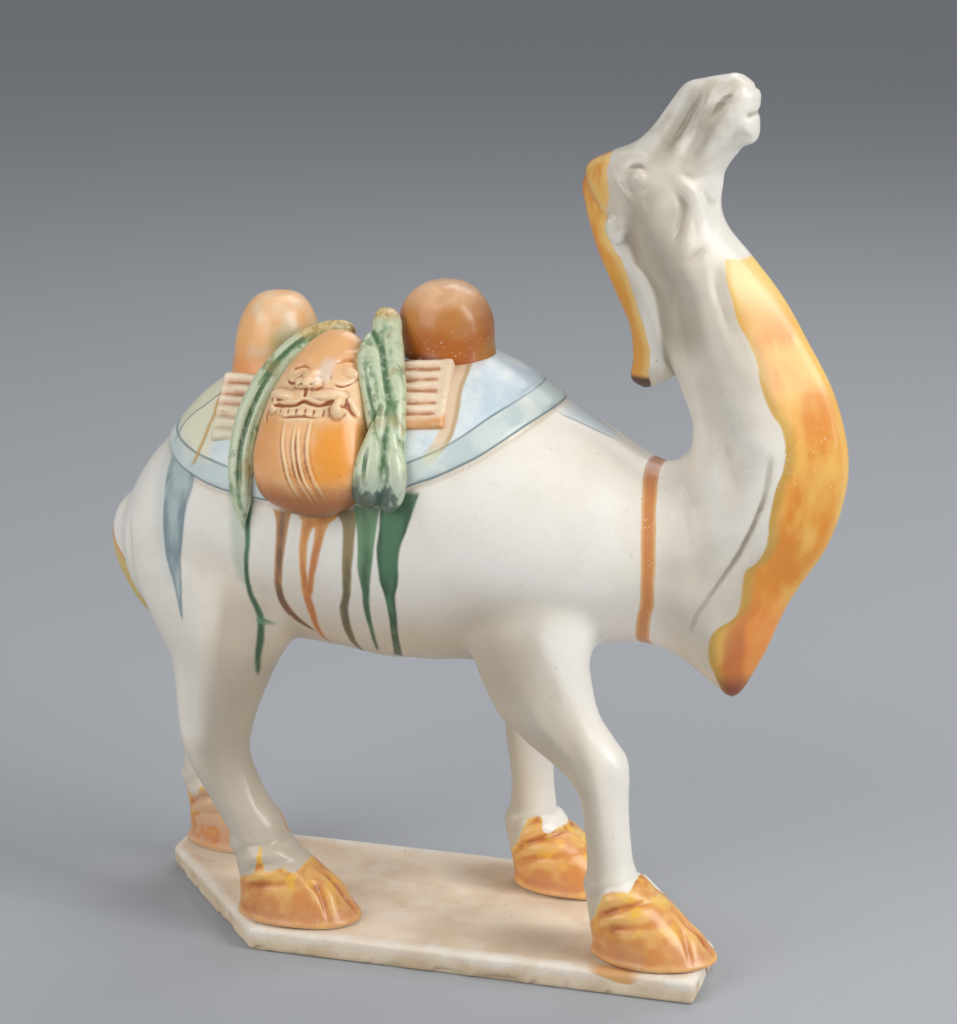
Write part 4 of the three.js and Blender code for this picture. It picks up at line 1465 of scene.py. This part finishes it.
def paint_ground(at):
    """White on the upper flank, greyer on head and neck, buff on belly and legs, with painted shade in
    hollows, creases and above the fore leg, and painted highlights on throat, head and lock.
    """
    x, z = at.x, at.z
    colour = at.glaze(CREAM_THIN_AND_HIGHLIGHT, CREAM, CREAM_DEEP, 1.0, 0.3)
    wander = at.noise(30, seed=2.9)
    low = z + wander * 30 + rise(x, 40, 90) * 40
    shank = mixed(rise(x, -112, -94), THIGH_BUFF, SHANK_GREY)
    belly = mixed(rise(x, -78, -112), BELLY_BUFF, SHANK_GREY)
    buff = mixed(rise(z, 150, 120), belly, mixed(rise(x, 10, -40), LEG_BUFF, shank))
    # Painted shade where the belly meets the top of the fore leg
    painted_armpit_shade = rise(abs(x - 60), 46, 0) * rise(abs(z - 154), 48, 4)
    colour = layered(
        colour,
        (rise(low, 226, 158) * 0.9, buff),
        (painted_armpit_shade * 0.85, SHANK_GREY),
    )
    colour = paint_leg_light_and_shade(at, colour)
    # The neck and head painted greyer, partly a thinner glaze and partly painted shade, less grey in the lit
    # band across the lower neck
    neck = larger(rise(x, 118, 142), rise(z, 270, 292))
    lit = rise(z, 300, 262) * rise(z, 196, 226)
    grey_and_shade_on_neck = neck * spread(wander, 0.55, 1.0) * spread(lit, 1, 0.4)
    # Painted highlights on the lit front edge of the throat and in patches on the top of the head
    throat = x - drawn(z, THROAT)
    painted_highlight = rise(throat, -5, 5) * rise(z, 330, 345)
    forehead = rise(z, 388, 404) * rise(at.noise(12, seed=5.9), 0.35, 0.6)
    painted_highlight = larger(painted_highlight, forehead * 0.9)
    # Darker in the hollows of the head and neck, partly pooled glaze and partly painted shade
    head = rise(z, 340, 360)
    sunk = rise(head * 0.05 + at.hollow, 0.56, 0.86)
    beside_lock = rise(x, 126, 118) * rise(z, 288, 296) * rise(z, 386, 374)
    sunk = sunk * spread(neck, 0.12, 0.75) * spread(beside_lock, 1, 0.3)
    shade = rise(at.noise(26, seed=4.7), 0.45, 0.7) * neck * 0.22
    colour = layered(
        colour,
        (grey_and_shade_on_neck, NECK_GREY),
        (painted_highlight * 0.75, CREAM_THIN_AND_HIGHLIGHT),
        (sunk, tone(146, 136, 120)),
        (shade, tone(170, 167, 158)),
    )
    # Painted shadows in the hollows of the face and down the cheek
    for line, half, strength in PAINTED_HEAD_SHADOWS:
        along = x - drawn(z, [(height, spot) for spot, height in line])
        ends = sorted((height for _, height in line))
        wash = (
            rise(abs(along), half, half * 0.3) * rise(z, ends[0] - 3, ends[0] + 14)
            * rise(z, ends[-1] + 3, ends[-1] - 6)
        )
        colour = mixed(wash * spread(wander, 0.6, 1.3) * strength, colour, PAINTED_SHADOW_GREY)
    # Painted shade in the crease down the side of the neck
    crease_shade = (
        near_line(x, drawn(z, [(height, along) for along, height in NECK_CREASE]), 1.9)
        * rise(z, 165, 176) * rise(z, 263, 252) * neck
    )
    # A painted highlight on the white side of the nape lock
    beside = x - drawn(z, LOCK_CREASE)
    height = rise(z, 288, 296) * rise(z, 374, 352)
    white = rise(beside, -14, -9) * rise(beside, -1.5, -4) * height
    colour = layered(
        colour,
        (crease_shade * 0.35, tone(132, 124, 110)),
        (white * 0.7, CREAM_THIN_AND_HIGHLIGHT),
    )
    # Painted shade in the crease between the lock and the neck
    crease_shade = rise(beside, -2.4, -0.4) * rise(beside, 6, 0) * height
    return mixed(crease_shade * 0.55, colour, tone(150, 139, 120))


def paint_cloth_zone(at, colour):
    x, z = at.x, at.z
    above = z - drawn(x, HEM)
    border = z - drawn(x, HEM_BORDER)
    rear_line = drawn(z, CLOTH_REAR)
    behind = rise(x - rear_line, 0.5, -0.5)
    inside = rise(above, -0.6, 0.4) * rise(x, -132, -130.5) * rise(x, 79, 77.5) * rise(z, 330, 326)
    patches = at.noise(15, detail=3, seed=8.1)
    cloudy = patches + spread(rise(x, 20, 62), -0.12, 0.16)
    wash = mixed(rise(cloudy, 0.4, 0.68), SKY_PALE, SKY)
    band = larger(rise(border, 0.5, -0.5), behind)
    faded = mixed(rise(patches, 0.45, 0.62), tone(196, 212, 212), tone(220, 227, 222))
    olive = rise(at.loose_x, -90, -98) * rise(above, 6, 15)
    lines = larger(near_line(border, 0.0, 0.85), near_line(x, rear_line, 0.8) * rise(z, 244, 248))
    stain = near_line(at.loose_x, drawn(z, CLOTH_STAIN), 1.6) * rise(z, 236, 240) * rise(z, 284, 276)
    off = (at.loose_x - x) * 0.5 + x - drawn(z, OCHRE_STAIN)
    pink = rise(abs(off), 4.6, 3) * rise(z, 246, 256)
    ochre = mixed(rise(off, 0.6, 2.8), tone(238, 204, 164), tone(196, 158, 92))
    ochre = mixed(rise(z, 262, 252), ochre, tone(196, 196, 110))
    wash = layered(
        wash,
        (band * 0.85, faded),
        (olive * 0.8, tone(240, 235, 198)),
        (lines * spread(patches, 0.35, 0.95), SLATE),
        (rise(above, 1.7, 0.2) * 0.85, tone(78, 104, 112)),
        (stain * 0.75, tone(206, 158, 76)),
        (pink * spread(rise(z, 252, 264), 0.4, 0.85), ochre),
        (at.salt * rise(x, 36, 56) * rise(border, 0, 8), tone(244, 246, 246)),
    )
    wide = drawn(x, [(76, 13), (84, 10), (92, 7.5), (104, 3)])
    aside = abs(at.y) - wide
    spur = rise(x, 70, 80) * rise(x, 106, 92) * rise(z, 244, 250) * rise(z, 284, 278)
    tip = mixed(near_line(aside, -0.3, 1.6), tone(204, 219, 227), tone(124, 148, 162))
    return layered(
        colour,
        (inside, wash),
        (spur * rise(aside, 0.8, -0.8) * 0.9, tip),
    )


def paint_runs(at, colour):
    drift = (at.loose_x - at.x) * 0.3
    x = mixed_number(rise(at.y, -1, 1), at.x + drift, FAR_RUNS_TURN - at.loose_x)
    z = at.z
    flow = at.noise(5, seed=5.5, stretch=(1, 1, 0.25))
    veil, _ = run_over(x, z, GREEN_VEIL, blur=2.5)
    halo, _ = run_over(x, z, BLUE_HALO, blur=5)
    colour = layered(
        colour,
        (veil * 0.42, tone(150, 178, 150)),
        (halo * 0.4, tone(182, 200, 204)),
    )
    looks = {
        "blue": (tone(172, 194, 192), tone(96, 126, 140), 0.82),
        "thin green": (tone(74, 132, 92), GREEN_DEEP, 0.92),
        "fleck": (tone(110, 150, 116), tone(50, 96, 64), 0.8),
        "brown": (tone(196, 138, 72), tone(116, 70, 34), 0.92),
        "left orange": (tone(232, 162, 78), tone(204, 118, 40), 0.92),
        "right orange": (tone(232, 162, 78), tone(204, 118, 40), 0.92),
        "olive": (tone(150, 128, 74), tone(90, 78, 38), 0.92),
        "left green": (tone(100, 146, 100), tone(38, 88, 50), 0.94),
        "right green": (tone(66, 120, 80), GREEN_DEEP, 0.96),
    }
    for name, (thin, deep, strength) in looks.items():
        rows = GLAZE_RUNS[name]
        mask, middle = run_over(x, z, rows)
        low = rise(z, rows[0][0] - 10, rows[-1][0] + 20)
        deep_part = 1.0 - middle if name in DARK_EDGED else middle
        deepness = low * 0.6 + deep_part * 0.45 + spread(flow, -0.8, 0.8)
        shade = mixed(rise(deepness, 0.1, 0.95), thin, deep)
        colour = mixed(mask * strength, colour, shade)
    return colour


def paint_mane(at, colour):
    z, y = at.z, at.y
    past = at.x + (at.loose_x - at.x) * 0.5 - drawn(z, MANE)
    mask = rise(past, -0.7, 0.7) * rise(at.loose_z, MANE_TOP + 1, MANE_TOP - 1) * rise(z, 118, 124)
    clouds = at.noise(16, detail=3, seed=9.4, stretch=(1, 1, 0.45))
    orange = mixed(rise(clouds, 0.36, 0.64), tone(246, 190, 92), tone(234, 146, 42))
    top = rise(clouds * 26 + z, 322, 356)
    # Paler along the front ridge: thin glaze there, and partly a painted highlight
    ridge = rise(abs(y), 8, 2) * rise(z, 176, 230)
    rim = rise(past, 7, 1) * rise(z, 338, 300)
    sharp = rise(past, 3, 0.6) * rise(z, 300, 330)
    off_tip = at.loose_x - drawn(z, MANE_TIP)
    tip = rise(off_tip, -0.5, 2.5) * rise(z, 190, 168)
    grains = at.salt * rise(z, 284, 262) * rise(z, 226, 246) * rise(clouds, 0.42, 0.5)
    orange = layered(
        orange,
        (top, tone(244, 212, 138)),
        (ridge * 0.55, tone(244, 208, 122)),
        (rim * spread(clouds, 0.5, 1.1), tone(196, 160, 74)),
        (sharp * 0.6, tone(228, 178, 70)),
        (tip * 0.7, tone(242, 142, 68)),
        (near_line(off_tip, 2.0, 6.0) * rise(z, 190, 160) * 0.6, tone(190, 104, 56)),
        (rise(z, 144, 132) * 0.8, tone(132, 60, 40)),
        (grains * 0.8, tone(250, 232, 200)),
    )
    return mixed(mask, colour, orange)


def paint_lock_and_tail(at, colour):
    x, z = at.loose_x, at.z
    within = drawn(z, LOCK_EDGE) - x
    lock = rise(within, -0.6, 0.8) * rise(at.x, 76, 79) * rise(z, 279, 281) * rise(z, 402, 396)
    clouds = at.noise(9, seed=7.7, stretch=(1, 1, 0.5))
    gold = mixed(rise(clouds, 0.35, 0.65), tone(240, 194, 104), tone(228, 154, 62))
    low = rise(z, 352, 330)
    brow = rise(within, 5, 1) * 0.7
    back = rise(abs(at.y), 8, 2) * rise(z, 338, 352) * 0.8
    gold = layered(
        gold,
        (low * 0.85, tone(214, 144, 40)),
        (brow, tone(244, 208, 132)),
        (back, tone(204, 104, 40)),
        (rise(z, LOCK_TIP + 2, LOCK_TIP - 1), tone(84, 52, 34)),
    )
    behind = drawn(z, TAIL_EDGE) - at.x
    # A painted highlight: the rounded tail painted paler
    whole = rise(at.x, -142, -147) * rise(z, 214, 206) * rise(z, 150, 160)
    line = rise(behind, -1.2, 0.4) * rise(z, 207, 198) * rise(z, 137, 142)
    ochre = mixed(rise(clouds * 5 + behind, 3.2, 5.5), tone(226, 146, 74), tone(216, 186, 96))
    return layered(
        colour,
        (lock, gold),
        (whole * 0.6, CREAM_THIN_AND_HIGHLIGHT),
        (line * 0.9, ochre),
    )


def paint_strap_and_hooves(at, colour):
    z = at.z
    drift = at.loose_x - at.x
    away = abs(at.x + drift * 0.3 - drawn(z, STRAP))
    strap = rise(away, STRAP_HALF + 0.5, STRAP_HALF - 0.5) * rise(z, 248, 245) * rise(z, 120, 124)
    dye = mixed(rise(away, 1.2, 3.2), tone(212, 132, 64), tone(230, 178, 114))
    dye = layered(
        dye,
        (rise(z, 232, 246) * 0.6, tone(160, 90, 58)),
        (at.salt * rise(z, 236, 226) * rise(away, 3, 2) * 0.75, tone(244, 224, 196)),
    )
    line = mixed_number(rise(at.y, -1, 1), drawn(at.x, NEAR_HOOVES), drawn(at.x, FAR_HOOVES))
    sunk = line - (drift * 0.5 + z)
    hoof = rise(sunk, -0.8, 0.8)
    amber = at.glaze(tone(238, 184, 108), tone(222, 148, 78), tone(188, 104, 46), 1.1, 0.9)
    yellow = rise(at.noise(9, detail=1, seed=6.6), 0.5, 0.66) * rise(z, 12, 24)
    paler = rise(at.y, -1, 1) * rise(at.x, -80, -92) * rise(at.noise(10, seed=3.7), 0.62, 0.5)
    foot = rise(z, 18, 4) * rise(at.noise(12, seed=1.4), 0.3, 0.6)
    edge = rise(sunk, 4.5, 0.5) * rise(at.noise(7, seed=2.1), 0.4, 0.55)
    amber = layered(
        amber,
        (yellow * 0.75, tone(244, 188, 66)),
        (paler * 0.7, tone(218, 186, 158)),
        (foot * 0.55, tone(214, 150, 112)),
        (edge * 0.75, tone(240, 204, 112)),
        (at.salt * rise(z, 8, 2) * 0.6, tone(240, 226, 206)),
        (rise(z, 1.6, 0.5) * 0.7, tone(236, 222, 200)),
    )
    return layered(colour, (strap * 0.95, dye), (hoof, amber))


def camel_colour(at):
    colour = paint_ground(at)
    colour = paint_runs(at, colour)
    colour = paint_strap_and_hooves(at, colour)
    colour = paint_mane(at, colour)
    colour = paint_lock_and_tail(at, colour)
    return paint_cloth_zone(at, colour)


def dress(piece, material, node="camel"):
    """Gives a piece its material and its place in the frame."""
    piece.data.materials.clear()
    piece.data.materials.append(material)
    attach(piece, "root")
    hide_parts(node)


dress(animal, glazed("cream_glaze", camel_colour, crackle_size=7.0, bump=0.22, coat=0.3))

# %% [markdown]
# ## The load's glazes
# Each part of the load was dipped or brushed in one glaze that ran into the next: peach on the humps, amber
# on the mask bags, green and white on the ribbons. The depth group gives the boards, bags and ribbons their
# own three colours, and the front hump changes colour by height.

# %% Glazes of the load


def by_height(height, stops):
    """A colour that changes from stop to stop of (height, colour), lowest first."""
    colour = stops[0][1]
    for (low, _), (high, above) in zip(stops, stops[1:]):
        colour = mixed(rise(height, low, high), colour, above)
    return colour


def front_hump_colour(at):
    z = at.z
    blush = at.noise(15, seed=3.3)
    height = z + blush * 12 - 6
    clay = by_height(height, [
        (288, tone(172, 90, 18)), (300, tone(190, 106, 34)), (312, tone(204, 134, 68)),
        (326, tone(246, 198, 152)),
    ])
    gold = rise(at.x, 30, 37) * rise(z, 308, 294)
    seam = rise(blush * 3 + z, 297.2, 294.6)
    return layered(
        clay,
        (rise(blush, 0.52, 0.62) * rise(z, 300, 308) * 0.3, tone(186, 124, 84)),
        (gold * 0.6, tone(214, 158, 84)),
        (seam * rise(at.x, 24, 14) * 0.85, tone(112, 58, 34)),
        (at.salt * rise(z, 312, 300) * 0.8, tone(244, 214, 178)),
    )


def rear_hump_colour(at):
    x, z = at.loose_x, at.z
    blush = at.noise(13, detail=1, seed=3.3)
    clay = mixed(rise(blush, 0.32, 0.68), tone(252, 192, 128), tone(246, 216, 182))
    stain = rise(x, -76, -66) * rise(z, 310, 294)
    return layered(
        clay,
        (rise(x, -78, -90) * 0.6, tone(252, 188, 118)),
        (rise(z, 296, 282) * rise(x, -74, -86) * 0.6, tone(242, 156, 98)),
        (stain * 0.75, tone(166, 172, 132)),
    )


def board_colour(at):
    x, z = at.x, at.z
    buff = at.glaze(tone(250, 230, 202), tone(240, 202, 168), tone(194, 138, 102), 1.35, 0.5)
    wander = at.noise(8, seed=6.6)
    foot = rise(wander * 10 + z, 276, 262)
    pale = rise(x, -40, -60) * foot
    edge = rise(z, 262, 292) * 4
    strip = rise(x + edge - (27.4 - BORDER_WIDTH), -0.5, 0.5)
    front = rise(x, -40, -20)
    level = z + wander * 4 - x * 0.1
    low = rise(level, 273, 270)
    dark = front * rise(level, 294, 295.6) * rise(x, 22, 14)
    return layered(
        buff,
        (pale * 0.7, tone(226, 222, 192)),
        (strip * 0.85, tone(240, 218, 188)),
        (front * low * 0.8, tone(222, 150, 70)),
        # Painted shadow along the front board's lower edge
        (front * rise(z, 264, 261), tone(104, 62, 38)),
        (dark, tone(116, 62, 40)),
        (at.salt * rise(z, 286, 291) * front, tone(246, 232, 216)),
    )


def load_height(at):
    """The height as on the near flank, also for what hangs lower on the far one."""
    z = at.z
    top = larger(z - (SQUEEZE_FROM - FAR_DROP), 0.0)
    raised = top * (FAR_SQUEEZE / (1 - FAR_SQUEEZE)) + (z + FAR_DROP)
    return mixed_number(rise(at.y, -1, 1), z, raised)


def bag_colour(at):
    x, z = at.x, load_height(at)
    amber = at.glaze(tone(250, 216, 168), tone(240, 176, 106), tone(166, 94, 52), 1.6, 0.4)
    spot = ((x + 20) / 13) ** 2 + ((z - 256) / 18) ** 2
    glow = rise(spot + at.noise(9, seed=4.1), 1.7, 0.6)
    face = rise(z, 266, 276) * rise(at.hollow, 0.85, 0.55) * 0.6
    crown = rise(at.noise(9, seed=8.8) * 10 + z, 292, 299) * 0.6
    patch = near_line(x, -32.0, 5.0) * near_line(z, 291.5, 6.0)
    rosy = rise(at.noise(14, seed=1.2) * 20 + x, -30, -48)
    foot = rise(at.noise(7, seed=2.7) * 8 + z, 250, 236)
    shaded = rise(x, -15, -7) * rise(z, 284, 274) * 0.5
    return layered(
        amber,
        (glow * 0.85, tone(246, 156, 38)),
        (face, tone(246, 214, 176)),
        (crown, tone(242, 170, 100)),
        (patch * 0.6, tone(232, 222, 212)),
        (rosy * rise(z, 276, 262) * 0.5, tone(246, 166, 104)),
        (foot * 0.85, tone(166, 92, 46)),
        (shaded, tone(186, 134, 88)),
        (rise(z, 227.5, 223), tone(120, 66, 40)),
    )


def ribbon_colour(brown_from, foot_from):
    """Soft green, streaked along the roll, brown at the top, white with slate pools at the lower end."""

    def colour_of(at):
        z = load_height(at)
        green = at.glaze(tone(202, 214, 182), tone(138, 165, 122), tone(84, 116, 80), 1.7, 0.5)
        streaks = at.noise(2.6, detail=4, seed=3.9, stretch=(1, 1, 0.4))
        broad = at.noise(13, detail=3, seed=5.1)
        dark = rise(streaks, 0.46, 0.6) * rise(broad, 0.46, 0.58)
        bald = rise(streaks, 0.52, 0.38) * rise(broad, 0.55, 0.42)
        olive = rise(at.noise(12, seed=7.1), 0.55, 0.68) * 0.5
        height = z + broad * 14 - 7
        foot = rise(height, foot_from + 6, foot_from - 4)
        pool = rise(broad + streaks * 0.4, 0.6, 0.74)
        end = mixed(pool, tone(178, 190, 172), tone(58, 80, 74))
        top = rise(height, brown_from, brown_from + 6)
        brown = mixed(rise(streaks, 0.4, 0.6), tone(228, 194, 128), tone(190, 156, 92))
        return layered(
            green,
            (dark * 0.6, tone(76, 112, 72)),
            (bald * 0.3, tone(222, 226, 206)),
            (olive, tone(166, 148, 92)),
            (foot * 0.8, end),
            (top * 0.85, brown),
        )

    return colour_of


dress(hump_front, glazed("front_hump_glaze", front_hump_colour, coat=0.3))
dress(hump_rear, glazed("rear_hump_glaze", rear_hump_colour, coat=0.25))
board_glaze = glazed("board_glaze", board_colour, crackle_size=5.0, bump=0.3, coat=0.3)
for board in boards:
    dress(board, board_glaze)
bag_glaze = glazed("mask_bag_glaze", bag_colour, crackle_size=5.0, coat=0.4)
for bag in (mask_bag_near, mask_bag_far):
    dress(bag, bag_glaze)
front_green = glazed("front_ribbon_glaze", ribbon_colour(309, 244), bump=0.35, crackle=tone(30, 60, 40))
rear_green = glazed("rear_ribbon_glaze", ribbon_colour(300, 206), bump=0.35, crackle=tone(30, 60, 40))
for piece in ribbons:
    dress(piece, front_green if "front" in piece.name else rear_green)

# %% [markdown]
# ## The bare slab
# The slab has no glaze of its own. Its clay fired to a pinkish buff with a whitish bloom along the rim,
# partly a painted highlight on its rounded edges, iron specks, and orange where glaze ran off the hooves and
# soaked in. Painted shadows lie behind the fore hooves. It is matt, so its bump does more work.

# %% Slab finish
WHITE_SKIN, PAINTED_SHADOW_CLAY, IRON_SPOT = tone(238, 230, 216), tone(172, 146, 118), tone(140, 84, 70)
RUN_OVER_EDGE = [(98, 0.5), (106, -1.5), (114, -3.6), (124, -5.4), (130, -3), (136, 0.5)]
# Patches of (along, across, half length, half width, strength, blur, colour): pale skin round the soles,
# painted shadows behind the fore hooves, and an iron spot
SLAB_STAINS_AND_SHADOWS = [
    (132, -STANCE, 33, SOLE_HALF + 2.5, 0.8, 0.2, WHITE_SKIN),
    (-55, -STANCE, 34, SOLE_HALF + 2, 0.7, 0.2, WHITE_SKIN),
    (70, STANCE, 32, SOLE_HALF + 2, 0.6, 0.2, WHITE_SKIN),
    (-117, STANCE, 33, SOLE_HALF + 2, 0.6, 0.2, WHITE_SKIN),
    (74, -STANCE, 44, 26, 0.5, 1.0, PAINTED_SHADOW_CLAY),
    (28, STANCE - 2, 36, 22, 0.5, 1.0, PAINTED_SHADOW_CLAY),
    (160, -33, 3, 5, 0.8, 0.2, IRON_SPOT),
]


def slab_material():
    material, tree, shader = new_material("buff_clay")
    at = Surface(tree)
    x, y, z = at.x, at.y, at.z
    clouds = at.noise(34, detail=3, seed=1.9)
    colour = mixed(rise(clouds, 0.35, 0.65), tone(244, 226, 204), tone(226, 204, 178))
    bloom = rise(at.noise(14, detail=4, seed=4.9), 0.46, 0.68)
    side = rise(z, -1.2, -2.6)
    wall = mixed(rise(clouds, 0.4, 0.6), tone(230, 212, 184), tone(212, 188, 156))
    # A whitish bloom along the rim, partly a painted highlight on its rounded edges
    rim = larger(rise(abs(y), 54, 59), rise(at.hollow, 0.46, 0.25))
    white = rim * spread(bloom, 0.45, 0.9) * rise(z, -9, -2)
    # Darker in the slab's hollows
    hollow_darkening = rise(at.hollow, 0.6, 0.95)
    foot = rise(at.noise(4, seed=9.3) * 6 + z, -17, -20) * side
    specks = rise(cells(tree, 4), 0.14, 0.08) * rise(at.noise(6, seed=7.3), 0.55, 0.62)
    colour = layered(
        colour,
        (bloom * 0.6, tone(238, 226, 210)),
        (side, wall),
        (white, tone(242, 236, 226)),
        (hollow_darkening * 0.5, tone(146, 122, 96)),
        (foot * 0.6, tone(150, 126, 98)),
        (specks * 0.6, tone(120, 84, 60)),
    )
    # Stains, and the painted shadows behind the fore hooves
    for along, across, wide, deep, strength, blur, stain in SLAB_STAINS_AND_SHADOWS:
        off = ((at.loose_x - along) / wide) ** 2 + ((y - across) / deep) ** 2
        colour = mixed(rise(off, 1, 1 - blur) * strength, colour, stain)
    run = near_line(at.loose_x, 117.0, 17.0) * rise(y, -52, -58)
    hang = drawn(x, RUN_OVER_EDGE)
    run = run * rise(z - hang, -0.6, 0.6)
    colour = mixed(run * 0.9, colour, tone(214, 160, 92))
    grit = at.noise(1.4, detail=4, seed=2.2)
    lumps = at.noise(9, detail=3, seed=3.8)
    send(colour, shader["Base Color"])
    send(spread(clouds, 0.62, 0.85), shader["Roughness"])
    send(bumped(grit * 0.35 + lumps, 0.5), shader["Normal"])
    return material


dress(slab, slab_material(), node="base_slab")

# %% [markdown]
# ## The studio
# One large soft light stands on the right, a broader one on the left fills the shadows, a third behind
# lights the cloth and the slab, and a tall strip draws the streak down the chest. The floor is a plain pale
# sheet, large enough to run out of the picture.

# %% Floor and lights
FLOOR_SIZE = 60
ROOM_COLOUR, ROOM_STRENGTH = (0.84, 0.86, 0.88, 1), 0.34


def studio_floor():
    sheet = bmesh.new()
    bmesh.ops.create_grid(sheet, x_segments=1, y_segments=1, size=FLOOR_SIZE / 2)
    mesh = bpy.data.meshes.new("studio_floor")
    sheet.to_mesh(mesh)
    sheet.free()
    floor = bpy.data.objects.new("studio_floor", mesh)
    bpy.context.scene.collection.objects.link(floor)
    paper, _, shader = new_material("studio_paper")
    shader["Base Color"].default_value = tone(172, 176, 183)
    shader["Roughness"].default_value = 0.9
    mesh.materials.append(paper)


def soft_light(name, direction, distance, width, height, power, colour=(1, 1, 1)):
    """An area light that looks at the camera's target from (right, up, towards the camera)."""
    right = Vector((math.cos(CAMERA_AZIMUTH), math.sin(CAMERA_AZIMUTH), 0))
    up = Vector((0, 0, 1))
    ahead = up.cross(right)
    spot = (right * direction[0] + up * direction[1] - ahead * direction[2]).normalized()
    light = bpy.data.objects.new(name, bpy.data.lights.new(name, "AREA"))
    light.data.shape = "RECTANGLE"
    light.data.size = width
    light.data.size_y = height
    light.data.energy = power
    light.data.color = colour
    light.location = CAMERA_TARGET + spot * distance
    light.rotation_euler = spot.to_track_quat("Z", "Y").to_euler()
    bpy.context.scene.collection.objects.link(light)


studio_floor()
soft_light("key_light", (1.2, 0.8, 0.6), 1.9, 1.1, 1.1, 22, (1, 0.985, 0.95))
soft_light("left_light", (-0.9, 0.6, 0.8), 2.3, 1.8, 1.8, 25, (1, 0.98, 0.95))
soft_light("back_light", (0.3, 0.9, -0.7), 2.0, 1.2, 1.2, 11, (1, 0.99, 0.97))
soft_light("strip_light", (1.0, 0.35, 0.5), 1.6, 0.1, 1.0, 2)
world = bpy.data.worlds.new("soft_room")
bpy.context.scene.world = world
world.use_nodes = True
room = world.node_tree.nodes["Background"].inputs
room["Color"].default_value = ROOM_COLOUR
room["Strength"].default_value = ROOM_STRENGTH
bpy.context.scene.view_settings.view_transform = "Standard"
